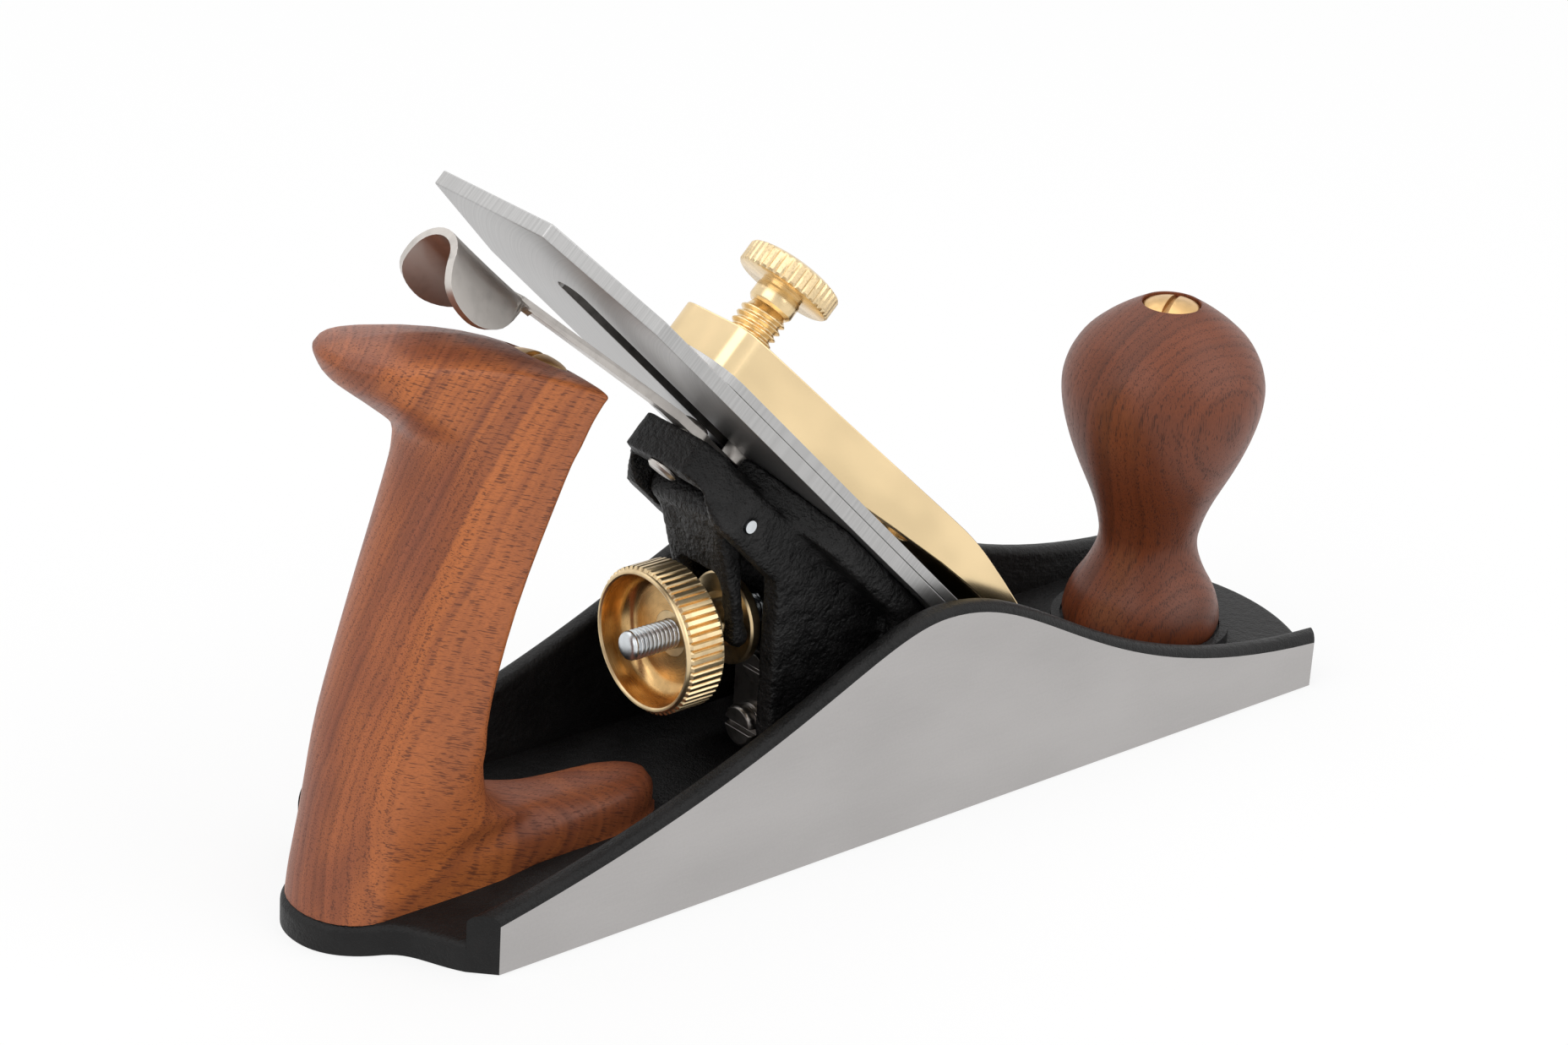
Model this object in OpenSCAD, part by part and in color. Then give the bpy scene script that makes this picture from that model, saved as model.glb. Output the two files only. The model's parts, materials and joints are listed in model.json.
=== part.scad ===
// Metal smoothing plane with a steel iron on a 45 degree frog, brass fittings and hardwood handles.
// Millimetres, +Z up. The sole is the plane z = 0, the toe points along +X, and the
// origin is the middle of the sole's length and width.

/* [Body casting] */
// Width over the ground outsides of the cheeks
body_w = 64; // [62:0.5:70]
// Length of a cheek along the sole
cheek_len = 216; // [208:1:226]
// How far the heel runs behind the cheeks
heel_reach = 24; // [22:0.5:28]
// How far the toe runs ahead of the cheeks
toe_reach = 12; // [9:0.5:15]
// Thickness of the sole
sole_t = 6; // [5:0.25:7]
// Thickness of a cheek
cheek_t = 4.5; // [4:0.25:5]
// Height of a cheek at its two ends
cheek_end_h = 12; // [10:0.5:14]
// Height of a cheek at its crest
crest_h = 46.5; // [42:0.5:50]
// Place of the crest ahead of the middle of the sole
crest_x = 5; // [0:0.5:10]
// Radius of the rounded top edge of a cheek
crown_r = 1.8; // [1:0.1:1.9]
// Half width of the round tail of the heel
heel_round = 14; // [13:0.25:16]
// Reach of the slanted corner behind a cheek
heel_corner = 4.5; // [3:0.25:6]
// Reach of the slanted corner ahead of a cheek
toe_corner = 3; // [2:0.25:4]

/* [Bed and mouth] */
// Slope of the bed above the sole
bed_angle = 45; // [44:0.25:46]
// Where the bed meets the plane of the sole, ahead of the middle
bed_x = 50.4; // [48:0.2:53]
// Width of the mouth across the sole
mouth_w = 54; // [53:0.25:54.5]
// Opening ahead of the cutting edge
mouth_open = 1.4; // [0.8:0.1:2.5]
// Height of the front land that carries the foot of the frog
front_land_h = 9; // [8:0.25:10]
// Height of the rear seat that carries the back of the frog
rear_seat_h = 14; // [13:0.25:15]

/* [Frog casting] */
// Width of the bed face of the frog
frog_w = 45; // [42:0.5:46]
// Thickness of the plate that forms the bed face
frog_plate_t = 6; // [5:0.25:6.5]
// Distance of the side walls' outer faces apart
frog_wall_w = 32; // [31:0.5:34]
// Thickness of a side wall
frog_wall_t = 5; // [4:0.25:5.5]
// Up-bed place where the bed face starts to narrow
frog_shoulder_s = 91; // [90:0.5:92]
// Up-bed place of the round end of the bed face
frog_end_s = 109; // [108:0.5:110]
// Up-bed place of the end of the top lug
frog_lug_s = 123.5; // [122.5:0.25:126]
// Width of the top lug
frog_lug_w = 23; // [22.5:0.5:25]
// Travel of the frog towards the toe
frog_travel = 1; // [0.5:0.25:1]

/* [Cutting iron] */
// Width of the iron and of the cap iron
iron_w = 50; // [48:0.5:51]
// Thickness of the iron
iron_t = 3; // [2.5:0.1:3.2]
// Up-bed place of the top of the iron
iron_top_s = 193; // [185:1:200]
// Width of the top of the iron between its clipped corners
iron_top_w = 32.5; // [28:0.5:38]
// Length of the clipped corners along the iron
iron_clip_l = 28; // [22:0.5:32]
// Width of the long slot
iron_slot_w = 7; // [6.8:0.1:8]
// Up-bed place of the top of the long slot
iron_slot_top_s = 168; // [160:0.5:172]
// Diameter of the round hole at the foot of the slot
keyhole_d = 16; // [15:0.5:17]
// Grinding angle of the cutting edge
edge_angle = 28; // [25:0.5:35]
// How far the edge is drawn back above the sole
edge_back = 0.15; // [0:0.05:0.5]

/* [Cap iron] */
// Thickness of the cap iron
cap_iron_t = 2; // [1.6:0.1:2.2]
// Up-bed place of the top of the cap iron
cap_iron_top_s = 149; // [143:0.5:152]
// Height of the hump near the foot of the cap iron
hump_h = 1.8; // [1.2:0.1:2]
// Up-bed place of the top of the hump
hump_s = 12; // [11:0.25:13]
// Distance of the cap iron's foot from the cutting edge
cap_iron_back = 1; // [0.6:0.1:1.6]

/* [Lever cap] */
// Width of the lever cap
lever_cap_w = 48; // [44:0.5:49]
// Up-bed place of the end of the boss
boss_s = 132.5; // [131:0.5:136]
// Width of the boss
boss_w = 16; // [15:0.5:18]
// Up-bed place of the middle of the lever cap's taper
cap_shoulder_s = 105; // [102:0.5:108]
// Height of the lever cap's top above the bed
lever_cap_n = 16.2; // [15.5:0.1:17]
// Thickness of the lever cap's top wall
lever_cap_t = 4; // [3:0.25:4.5]
// Up-bed place of the screw that holds the lever cap
cap_screw_s = 75; // [74:0.25:76]

/* [Thumb screw] */
// Up-bed place of the thumb screw
thumb_s = 122; // [121:0.25:124]
// Diameter of the thread
thumb_d = 9.5; // [8.5:0.1:10]
// Diameter of the knurled head
thumb_head_d = 20.4; // [18:0.2:21]
// Thickness of the knurled rim of the head
thumb_head_t = 5; // [4:0.1:5.5]
// Height of the underside of the head above the bed
thumb_head_n = 28.75; // [27:0.25:31]
// Number of ridges round the head
thumb_ridges = 52; // [40:1:60]

/* [Depth adjuster] */
// Height of the adjuster's axis above the sole
wheel_z = 40; // [39:0.25:41]
// Diameter over the ridges of the wheel
wheel_d = 29.8; // [28:0.2:31]
// Distance of the wheel's open rim behind the bed line
wheel_back = 96.2; // [95.5:0.1:97]
// Width of the ridged band
wheel_band = 9.3; // [8.5:0.1:9.8]
// Number of ridges round the wheel
wheel_ridges = 60; // [48:1:66]
// Depth of the grooves between the ridges
ridge_depth = 0.6; // [0.4:0.05:0.8]
// Diameter of the steel stud
stud_d = 6; // [5.5:0.1:6.4]
// Distance of the stud's tip behind the bed line
stud_tip_back = 100.4; // [99:0.2:104]
// Distance of the middle of the groove behind the bed line
groove_back = 78.9; // [78.5:0.1:79.3]
// Width of the groove that the yoke runs in
groove_w = 5; // [4.6:0.1:5.2]
// Diameter of the hub in the groove
groove_d = 11; // [10.6:0.1:11.6]
// Diameter of the flange ahead of the groove
flange_d = 19; // [17:0.2:19.5]
// Travel of the wheel each way along the stud
wheel_travel = 2; // [1:0.25:2]

/* [Yoke] */
// Up-bed place of the yoke's pin
yoke_s = 107; // [106.5:0.25:107.5]
// Distance of the yoke's pin below the bed
yoke_n = 11.5; // [11.3:0.1:11.7]
// Diameter of the yoke's pin
yoke_pin_d = 2.6; // [2.2:0.1:3]
// Up-bed place of the finger that moves the cap iron
finger_s = 92; // [91.5:0.25:92.5]
// Thickness of the finger along the bed
finger_t = 4; // [3.6:0.1:4.2]
// Thickness of the yoke's two arms
arm_t = 3.2; // [3:0.1:3.3]

/* [Lateral lever] */
// Up-bed place of the lever's rivet
rivet_s = 119.5; // [119:0.25:120]
// Up-bed place of the roller in the iron's slot
roller_s = 105; // [104.75:0.25:105.5]
// Thickness of the lever's strip
lever_t = 1.8; // [1.5:0.1:2]
// Width of the lever's stem
lever_w = 5.5; // [5:0.1:6]
// Depth of the lever's seat below the bed
lever_seat = 4; // [3.9:0.1:4.2]
// Up-bed place where the stem meets the finger piece
finger_piece_s = 172; // [168:0.5:176]
// Length of the finger piece along the bed
finger_piece_l = 25.5; // [22:0.5:28]
// Drop of the stem's outer end below the bed
stem_drop = 7.4; // [7:0.1:9]
// Half length of the finger piece's sheet across its bend
wing_l = 15; // [12:0.5:17]

/* [Rear handle] */
// Length of the handle's base along the sole
tote_base_l = 83; // [80:0.5:86]
// Height of the handle above the floor of the body
tote_h = 112; // [108:0.5:116]
// Thickness of the grip
tote_t = 25; // [22:0.5:27]
// Lean of the handle's bolt from upright
bolt_lean = 22; // [21.4:0.2:22.6]
// Place of the bolt's foot behind the cheeks' rear ends
bolt_foot = 12; // [11:0.25:13]
// Diameter of the handle bolts
bolt_d = 5.5; // [5:0.1:6]
// Diameter of the brass nuts' heads
nut_d = 12.2; // [11.5:0.1:13]

/* [Front knob] */
// Distance of the knob behind the cheeks' front ends
knob_back = 21; // [20:0.5:24]
// Height of the knob's crown above its seat
knob_h = 75; // [70:0.5:80]
// Greatest diameter of the knob
knob_d = 43; // [40:0.5:46]
// Diameter of the knob's neck
knob_neck_d = 21.2; // [19:0.2:24]
// Diameter of the knob's foot
knob_foot_d = 34.2; // [32:0.2:35]

/* [Clearances] */
// Gap under the iron and beside its slot
bed_gap = 0.05; // [0.02:0.01:0.1]
// Radial clearance of a turning fit
run_gap = 0.05; // [0.02:0.01:0.08]
// Radial clearance of a screwed or seated fit
seat_gap = 0.02; // [0.01:0.01:0.05]
// Gap between neighbouring pieces that move apart
side_gap = 0.3; // [0.2:0.05:0.4]

/* [Hidden] */

$fn = 64;
japan = [0.09, 0.09, 0.1];
ground_steel = [0.72, 0.72, 0.74];
dark_steel = [0.32, 0.32, 0.34];
brass = [0.85, 0.68, 0.38];
handle_wood = [0.62, 0.34, 0.18];
knob_wood = [0.45, 0.22, 0.14];

// Places along the sole
total_l = heel_reach + cheek_len + toe_reach;
rear_x = heel_reach - total_l / 2;
front_x = rear_x + cheek_len;
half_w = body_w / 2;
inner_half_w = half_w - cheek_t;
knob_x = front_x - knob_back;
eps = 0.01;
curve_steps = 18;

// A point of the bed: s up the slope, n square out of it; returns [x, z]
function bp(s, n) = [bed_x - s * cos(bed_angle) + n * sin(bed_angle),
    s * sin(bed_angle) + n * cos(bed_angle)];
// Up-bed place of the point that lies a given height up, n out of the bed
function s_at_z(z, n) = (z - n * cos(bed_angle)) / sin(bed_angle);

// Curves
function bezier(a, b, c, d, t) = pow(1 - t, 3) * a + 3 * pow(1 - t, 2) * t * b
    + 3 * (1 - t) * t * t * c + pow(t, 3) * d;
function curve(a, b, c, d, steps) = [for (i = [0:steps]) bezier(a, b, c, d, i / steps)];
function rest(list) = [for (i = [1:len(list) - 1]) list[i]];
function mirrored(list) = [for (i = [len(list) - 1:-1:0]) [list[i][0], -list[i][1]]];
// A smooth line through hand-set knots, with the given number of steps between two knots
function spline_at(p, i, t) = let (
    a = p[max(i - 1, 0)], b = p[i], c = p[i + 1], d = p[min(i + 2, len(p) - 1)])
    0.5 * (2 * b + (c - a) * t + (2 * a - 5 * b + 4 * c - d) * t * t
        + (3 * b - a - 3 * c + d) * t * t * t);
function spline(p, steps) = concat([for (i = [0:len(p) - 2], k = [0:steps - 1])
    spline_at(p, i, k / steps)], [p[len(p) - 1]]);

// Local axes of the bed: x down the slope, y across, z square out of it
module on_bed(s = 0, n = 0)
    translate([bed_x, 0, 0]) rotate([0, bed_angle, 0]) translate([-s, 0, n]) children();
// Extrudes an outline of [x, z] points across the plane between two y values
module across(y0, y1) translate([0, y1, 0]) rotate([90, 0, 0]) linear_extrude(y1 - y0) children();
// The same piece on both sides of the middle
module both_sides() {
    children();
    mirror([0, 1, 0]) children();
}
// A cylinder along +X from a point
module rod_x(x, y, z, r, l) translate([x, y, z]) rotate([0, 90, 0]) cylinder(r = r, h = l);
// One end of a skin: a flat face, or on a bent sheet's ring a strip between its two faces
function end_cap(n, first, sheet) = sheet
    ? [for (j = [0:n / 2 - 2], k = [0:1]) let (a = first + j, b = first + n - 1 - j)
        k == 0 ? [a, a + 1, b - 1] : [a, b - 1, b]]
    : [[for (j = [0:n - 1]) first + j]];
function turned(face) = [for (i = [len(face) - 1:-1:0]) face[i]];
// A closed skin over equal rings of points
module skin(rings, sheet = false) {
    n = len(rings[0]);
    m = len(rings);
    polyhedron(
        points = [for (r = rings, p = r) p],
        faces = concat(
            [for (f = end_cap(n, 0, sheet)) turned(f)],
            [for (i = [0:m - 2], j = [0:n - 1], k = [0:1]) let (
                a = i * n + j, b = i * n + (j + 1) % n, c = a + n, d = b + n)
                k == 0 ? [a, b, d] : [a, d, c]],
            end_cap(n, (m - 1) * n, sheet)),
        convexity = 6);
}
// Points round a star of even ridges with flat lands
function ridges(count, r, depth) = [for (i = [0:count - 1], k = [0:3]) let (
    a = (i + [0.08, 0.6, 0.78, 0.9][k]) * 360 / count,
    q = k < 2 ? r : r - depth) [q * cos(a), q * sin(a)]];

// Outline of the sole
heel_end_x = rear_x - heel_reach;
heel_edge = concat(
    curve([rear_x - heel_corner, inner_half_w], [rear_x - heel_corner - 4, inner_half_w - 6],
        [rear_x - heel_corner - 4, heel_round + 2.5],
        [(rear_x + heel_end_x) / 2 - 1.5, heel_round], 10),
    rest(curve([(rear_x + heel_end_x) / 2 - 1.5, heel_round],
        [heel_end_x + 4.5, heel_round - 2.5], [heel_end_x, heel_round / 2], [heel_end_x, 0], 12)));
toe_sag = toe_reach - toe_corner;
toe_r = (inner_half_w * inner_half_w + toe_sag * toe_sag) / (2 * toe_sag);
toe_half_angle = asin(inner_half_w / toe_r);
toe_edge = [for (i = [0:20]) let (a = toe_half_angle * (i / 10 - 1))
    [front_x + toe_reach - toe_r + toe_r * cos(a), toe_r * sin(a)]];
sole_outline = concat(
    [[rear_x, -half_w], [front_x, -half_w]], toe_edge,
    [[front_x, half_w], [rear_x, half_w]], heel_edge,
    rest(mirrored(heel_edge)));

// Top line of a cheek, from its rear corner to its front corner
rear_pull = 19;
front_pull = 29;
cheek_line = concat(
    [[rear_x - heel_corner, cheek_end_h]],
    curve([rear_x, cheek_end_h], [rear_x + 70, cheek_end_h + 14],
        [crest_x - rear_pull, crest_h], [crest_x, crest_h], curve_steps),
    rest(curve([crest_x, crest_h], [crest_x + front_pull, crest_h],
        [front_x - 66, cheek_end_h + 5], [front_x, cheek_end_h], curve_steps)),
    [[front_x + toe_corner, cheek_end_h]]);
crown_steps = 3;
crown_inset = 0.02;
crown_dip = 1;

// One ring of the rounded top edge of the far cheek; slant shears the ring along the end cuts
function crown_ring(x, top, slant) = let (
    y0 = inner_half_w + crown_inset, y1 = half_w - crown_inset,
    arc_in = [for (i = [0:crown_steps]) let (a = 180 - 90 * i / crown_steps)
        [y0 + crown_r + crown_r * cos(a), top - crown_r + crown_r * sin(a)]],
    arc_out = [for (i = [0:crown_steps]) let (a = 90 - 90 * i / crown_steps)
        [y1 - crown_r + crown_r * cos(a), top - crown_r + crown_r * sin(a)]],
    ring = concat([[y0, top - crown_r - crown_dip]], arc_in, arc_out,
        [[y1, top - crown_r - crown_dip]]))
    [for (p = ring) [x + slant * (half_w - p[0]) / cheek_t, p[0], p[1]]];

module cheek() {
    low = [for (p = cheek_line) [p[0], p[1] - crown_r]];
    intersection() {
        across(inner_half_w, half_w)
            polygon(concat([[rear_x - heel_corner, 0]], low, [[front_x + toe_corner, 0]]));
        linear_extrude(crest_h) polygon([[rear_x, half_w], [front_x, half_w],
            [front_x + toe_corner, inner_half_w], [rear_x - heel_corner, inner_half_w]]);
    }
    n = len(cheek_line);
    skin([for (i = [1:n - 2]) let (p = cheek_line[i])
        crown_ring(p[0], p[1], i == 1 ? -heel_corner : i == n - 2 ? toe_corner : 0)]);
}

// Seat of the frog
seat_rear_x = bed_x - 60.4;
seat_front_x = bed_x - 22.4;
land_rear_x = bed_x - 21.4;
rib_half_w = 6.5;
rib_top = 20.5;
rib_front_x = bed_x - 40;
seat_half_w = 21;
mouth_front_x = bed_x + iron_t / sin(bed_angle) + mouth_open;
adjust_z = 14.5;
adjust_d = 8;
adjust_hole_end_x = bed_x - 44;
frog_screw_x = bed_x - 30.4;
frog_screw_y = 11.5;
frog_screw_d = 5;

// Front and rear bolt seats
knob_seat_r = knob_foot_d / 2 + 0.2;
knob_boss_wall = 2;
knob_boss_h = 3;
knob_seat_h = 2;
knob_seat_z = sole_t + knob_seat_h;
tapped_floor = 1.5;
tote_boss_r = 6;
tote_boss_h = 5;
bolt_foot_x = rear_x - bolt_foot;

// Places things on the axis of the rear bolt, measured from the floor of the body
module on_bolt(l = 0)
    translate([bolt_foot_x, 0, sole_t]) rotate([0, bolt_lean, 0]) translate([0, 0, l]) children();

module plane_body() color(japan) difference() {
    union() {
        linear_extrude(sole_t) polygon(sole_outline);
        both_sides() cheek();
        // Land behind the mouth, its front on the slope of the bed
        across(-seat_half_w, seat_half_w) polygon([[land_rear_x, sole_t - 1],
            [land_rear_x, front_land_h], bp(s_at_z(front_land_h, -side_gap), -side_gap),
            bp(s_at_z(sole_t - 1, -side_gap), -side_gap)]);
        // Rear seat and the rib that the adjusting screw works in
        translate([seat_rear_x, -seat_half_w, sole_t - 1])
            cube([seat_front_x - seat_rear_x, 2 * seat_half_w, rear_seat_h - sole_t + 1]);
        translate([seat_rear_x, -rib_half_w, sole_t - 1])
            cube([rib_front_x - seat_rear_x, 2 * rib_half_w, rib_top - sole_t + 1]);
        // Raised ring that centres the knob, and the boss under the rear handle
        translate([knob_x, 0, sole_t - 1])
            cylinder(r = knob_seat_r + knob_boss_wall, h = 1 + knob_boss_h);
        translate([bolt_foot_x, 0, sole_t - 1]) cylinder(r = tote_boss_r, h = 1 + tote_boss_h);
    }
    // Mouth, sloped behind and upright in front
    across(-mouth_w / 2, mouth_w / 2) polygon([bp(s_at_z(-1, -side_gap), -side_gap),
        bp(s_at_z(sole_t + 1, -side_gap), -side_gap), [mouth_front_x + 2, sole_t + 1],
        [mouth_front_x, sole_t / 2], [mouth_front_x, -1]]);
    translate([knob_x, 0, knob_seat_z]) cylinder(r = knob_seat_r, h = knob_boss_h);
    translate([knob_x, 0, tapped_floor]) cylinder(r = bolt_d / 2 + seat_gap, h = sole_t + knob_boss_h);
    on_bolt(tapped_floor - sole_t) cylinder(r = bolt_d / 2 + seat_gap, h = sole_t + 2 * tote_boss_h);
    rod_x(seat_rear_x - 1, 0, adjust_z, adjust_d / 2 + run_gap, adjust_hole_end_x - seat_rear_x + 1);
    both_sides() translate([frog_screw_x, frog_screw_y, tapped_floor])
        cylinder(r = frog_screw_d / 2 + seat_gap, h = rear_seat_h);
}

// Frog
wall_rear_x = bed_x - 75.9;
stud_face_x = bed_x - 68.4;
plate_face_x = bed_x - 63.6;
stud_face_low_z = 31;
stud_face_high_z = 48;
stud_root = 12;
frog_pad_t = 5;
frog_core_w = 16;
front_wall_t = 4.4;
plate_lip = 0.4;
front_wall_x = bed_x - 48.4;
well_r = 6.3;
head_recess_r = 8.6;
head_recess_n = 5.4;
cap_iron_screw_s = 48;
finger_w = 5.6;
yoke_hub_r = 4;
lug_t = 8;
roof_t = 3;
yoke_at = bp(yoke_s, -yoke_n);
lug_under_s = 117;
rivet_shank_d = 4;
cap_screw_shank_d = 5;
cap_screw_root = 9.5;
stub = 3;
wall_top_n = lever_seat + 1.5;

// The sloped plate, seen square to the bed: x runs down the bed
function plate_side() = concat(
    [[-8, frog_w / 2], [-frog_shoulder_s, frog_w / 2], [-(frog_shoulder_s + 4.5), frog_w / 2 - 4.6]],
    rest(curve([-(frog_shoulder_s + 4.5), frog_w / 2 - 4.6],
        [-(frog_shoulder_s + 12), frog_w / 2 - 10], [-frog_end_s, 9], [-frog_end_s, 0], 8)));

module frog_solids() {
    // Bed plate
    on_bed() translate([0, 0, -frog_plate_t]) linear_extrude(frog_plate_t - bed_gap)
        polygon(concat(plate_side(), rest(mirrored(plate_side()))));
    // Top lug: a thin roof over the yoke and a thick end for the lever's rivet
    on_bed() translate([-lug_under_s - eps, -frog_lug_w / 2, -lever_seat - roof_t])
        cube([lug_under_s - frog_shoulder_s, frog_lug_w, roof_t]);
    on_bed() translate([-frog_lug_s, -frog_lug_w / 2, -lever_seat - lug_t])
        cube([frog_lug_s - lug_under_s, frog_lug_w, lug_t]);
    // Rear side walls that carry the yoke's pin
    both_sides() across(frog_wall_w / 2 - frog_wall_t, frog_wall_w / 2) polygon([
        bp(s_at_z(rear_seat_h, -stub), -stub), bp(frog_shoulder_s, -stub), bp(frog_shoulder_s + 3, -wall_top_n),
        bp(lug_under_s + 2, -wall_top_n), bp(lug_under_s + 2, -12.5), bp(yoke_s + 5, -16),
        [wall_rear_x, bp(frog_shoulder_s, -16)[1]], [wall_rear_x, rear_seat_h + 6],
        [wall_rear_x + 4, 0], [front_wall_x + 6, 0]]);
    // Front side walls close under the edges of the plate
    both_sides() across(frog_w / 2 - front_wall_t, frog_w / 2 - plate_lip) polygon([
        [front_wall_x, 0], bp(s_at_z(0, -stub) + (bed_x - front_wall_x) / cos(bed_angle) - stub, -stub),
        bp(0, -stub)]);
    both_sides() across(frog_wall_w / 2 - frog_wall_t, frog_w / 2 - 1) polygon([
        [front_wall_x, 0], [front_wall_x, bed_x - front_wall_x - 2 * stub],
        [front_wall_x + 5, bed_x - front_wall_x - 5 - 2 * stub], [front_wall_x + 5, 0]]);
    // Middle web that holds the stud
    across(-frog_core_w / 2, frog_core_w / 2) polygon([
        [stud_face_x, stud_face_low_z], [stud_face_x, stud_face_high_z],
        bp(82.3, -stub), bp(10, -stub), [plate_face_x, 0], [plate_face_x, stud_face_low_z]]);
    // Foot pads
    translate([seat_rear_x + 4, -frog_w / 2 + 1, 0])
        cube([bed_x - 12 - seat_rear_x - 4, frog_w - 2, rear_seat_h + frog_pad_t]);
}

module frog() color(japan) difference() {
    frog_solids();
    // The pads follow the two seats
    translate([wall_rear_x - 1, -frog_w, -20])
        cube([seat_front_x + frog_travel + 0.5 - wall_rear_x + 1, 2 * frog_w, rear_seat_h + 20 + seat_gap]);
    translate([wall_rear_x, -frog_w, -20])
        cube([bed_x - wall_rear_x, 2 * frog_w, front_land_h + 20 + seat_gap]);
    // Everything above the bed ahead of the plate
    on_bed() translate([-60, -frog_w, -bed_gap]) cube([80, 2 * frog_w, 60]);
    // Groove astride the rib
    translate([seat_rear_x - 20, -rib_half_w - side_gap, -1])
        cube([rib_front_x + frog_travel + side_gap - seat_rear_x + 20, 2 * (rib_half_w + side_gap),
            rib_top + side_gap + 1]);
    // Wells and slots for the two holding screws
    both_sides() translate([frog_screw_x, frog_screw_y, 0]) {
        for (x = [-frog_travel, frog_travel]) translate([x, 0, 0]) {
            translate([0, 0, rear_seat_h + frog_pad_t]) cylinder(r = well_r, h = 40);
            cylinder(r = frog_screw_d / 2 + side_gap, h = 40);
        }
        translate([-frog_travel, -well_r, rear_seat_h + frog_pad_t]) cube([2 * frog_travel, 2 * well_r, 40]);
        translate([-frog_travel, -frog_screw_d / 2 - side_gap, 0])
            cube([2 * frog_travel, frog_screw_d + 2 * side_gap, 40]);
    }
    // Recess for the head of the cap iron's screw
    for (s = [cap_iron_screw_s - 3, cap_iron_screw_s + 3]) on_bed(s, -head_recess_n)
        cylinder(r = head_recess_r, h = 20);
    on_bed(cap_iron_screw_s, -head_recess_n) translate([-3, -head_recess_r, 0])
        cube([6, 2 * head_recess_r, 20]);
    // Way for the yoke's finger
    on_bed(finger_s, 0) translate([-finger_t, -finger_w / 2 - 1.2, -2 * frog_plate_t])
        cube([2 * finger_t, finger_w + 2.4, 3 * frog_plate_t]);
    // Seat of the lateral lever
    on_bed(roller_s, -lever_seat) translate([-40, -lever_w / 2 - 1.6, 0])
        cube([45, lever_w + 3.2, 20]);
    // Bores
    translate([yoke_at[0], 0, yoke_at[1]]) rotate([90, 0, 0])
        cylinder(r = yoke_pin_d / 2 + seat_gap, h = 2 * frog_wall_w, center = true);
    rod_x(stud_face_x - 1, 0, wheel_z, stud_d / 2 + seat_gap, stud_root + 1);
    on_bed(cap_screw_s, -cap_screw_root) cylinder(r = cap_screw_shank_d / 2 + seat_gap, h = 20);
    on_bed(rivet_s, -30) cylinder(r = rivet_shank_d / 2 + seat_gap, h = 40);
    rod_x(plate_face_x - 1, 0, fork_screw_z, fork_screw_d / 2 + seat_gap, fork_screw_l + 1);
}

module frog_screws() color(dark_steel) both_sides() translate([frog_screw_x, frog_screw_y, 0]) difference() {
    head_z = rear_seat_h + frog_pad_t + washer_t + seat_gap;
    union() {
        translate([0, 0, tapped_floor + 1]) cylinder(r = frog_screw_d / 2, h = head_z - tapped_floor);
        translate([0, 0, head_z]) cylinder(r = washer_d / 2 - 1, h = frog_screw_head_t);
    }
    translate([-washer_d, -0.6, head_z + frog_screw_head_t / 2]) cube([2 * washer_d, 1.2, frog_screw_head_t]);
}
washer_t = 1;
washer_d = 11;
frog_screw_head_t = 2.6;

module frog_washers() color(dark_steel) both_sides()
    translate([frog_screw_x, frog_screw_y, rear_seat_h + frog_pad_t + seat_gap]) difference() {
        cylinder(r = washer_d / 2, h = washer_t);
        translate([0, 0, -1]) cylinder(r = frog_screw_d / 2 + seat_gap, h = washer_t + 2);
    }

// Fore and aft adjuster of the frog
fork_t = 2;
fork_w = 15;
fork_screw_z = 26.5;
fork_screw_d = 3.5;
fork_screw_l = 6;
fork_screw_head_r = 3.2;
fork_neck_d = 5.4;
fork_low_z = 10.2;
fork_high_z = 30.5;
fork_x = plate_face_x - fork_t;
adjust_head_x = bed_x - 70.7;
adjust_tip_x = bed_x - 47;
adjust_head_d = 8.6;

module frog_adjust_plate() color(dark_steel) difference() {
    translate([fork_x, -fork_w / 2, fork_low_z]) cube([fork_t, fork_w, fork_high_z - fork_low_z]);
    rod_x(fork_x - 1, 0, fork_screw_z, fork_screw_d / 2 + seat_gap, fork_t + 2);
    rod_x(fork_x - 1, 0, adjust_z, fork_neck_d / 2 + run_gap, fork_t + 2);
    translate([fork_x - 1, -fork_neck_d / 2 - run_gap, 0]) cube([fork_t + 2, fork_neck_d + 2 * run_gap, adjust_z]);
}

module frog_plate_screw() color(dark_steel) difference() {
    union() {
        rod_x(fork_x, 0, fork_screw_z, fork_screw_d / 2, fork_t + fork_screw_l - 0.5);
        rod_x(fork_x - 1.8, 0, fork_screw_z, fork_screw_head_r, 1.8);
    }
    translate([fork_x - 2.8, -5, fork_screw_z - 0.4]) cube([1.9, 10, 0.8]);
}

// Slotted screw with a ring groove behind its head and a neck for the fork
module frog_adjust_screw() color(dark_steel) {
    neck_x = fork_x - 0.1;
    neck_l = fork_t + 0.2;
    difference() {
        translate([adjust_head_x, 0, adjust_z]) rotate([0, 90, 0]) rotate_extrude() polygon([
            [0, 0], [adjust_head_d / 2 - 0.5, 0], [adjust_head_d / 2, 0.6], [adjust_head_d / 2, 2.1],
            [adjust_head_d / 2 - 0.7, 2.5], [adjust_head_d / 2 - 0.7, 2.9], [adjust_head_d / 2, 3.3],
            [adjust_head_d / 2, neck_x - adjust_head_x], [fork_neck_d / 2, neck_x - adjust_head_x],
            [fork_neck_d / 2, neck_x + neck_l - adjust_head_x], [adjust_d / 2, neck_x + neck_l - adjust_head_x],
            [adjust_d / 2, adjust_tip_x - adjust_head_x - 1], [adjust_d / 2 - 1, adjust_tip_x - adjust_head_x],
            [0, adjust_tip_x - adjust_head_x]]);
        translate([adjust_head_x - 1, -adjust_head_d, adjust_z - 0.7]) rotate([0, 0, 0])
            cube([2.6, 2 * adjust_head_d, 1.4]);
    }
}

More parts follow.
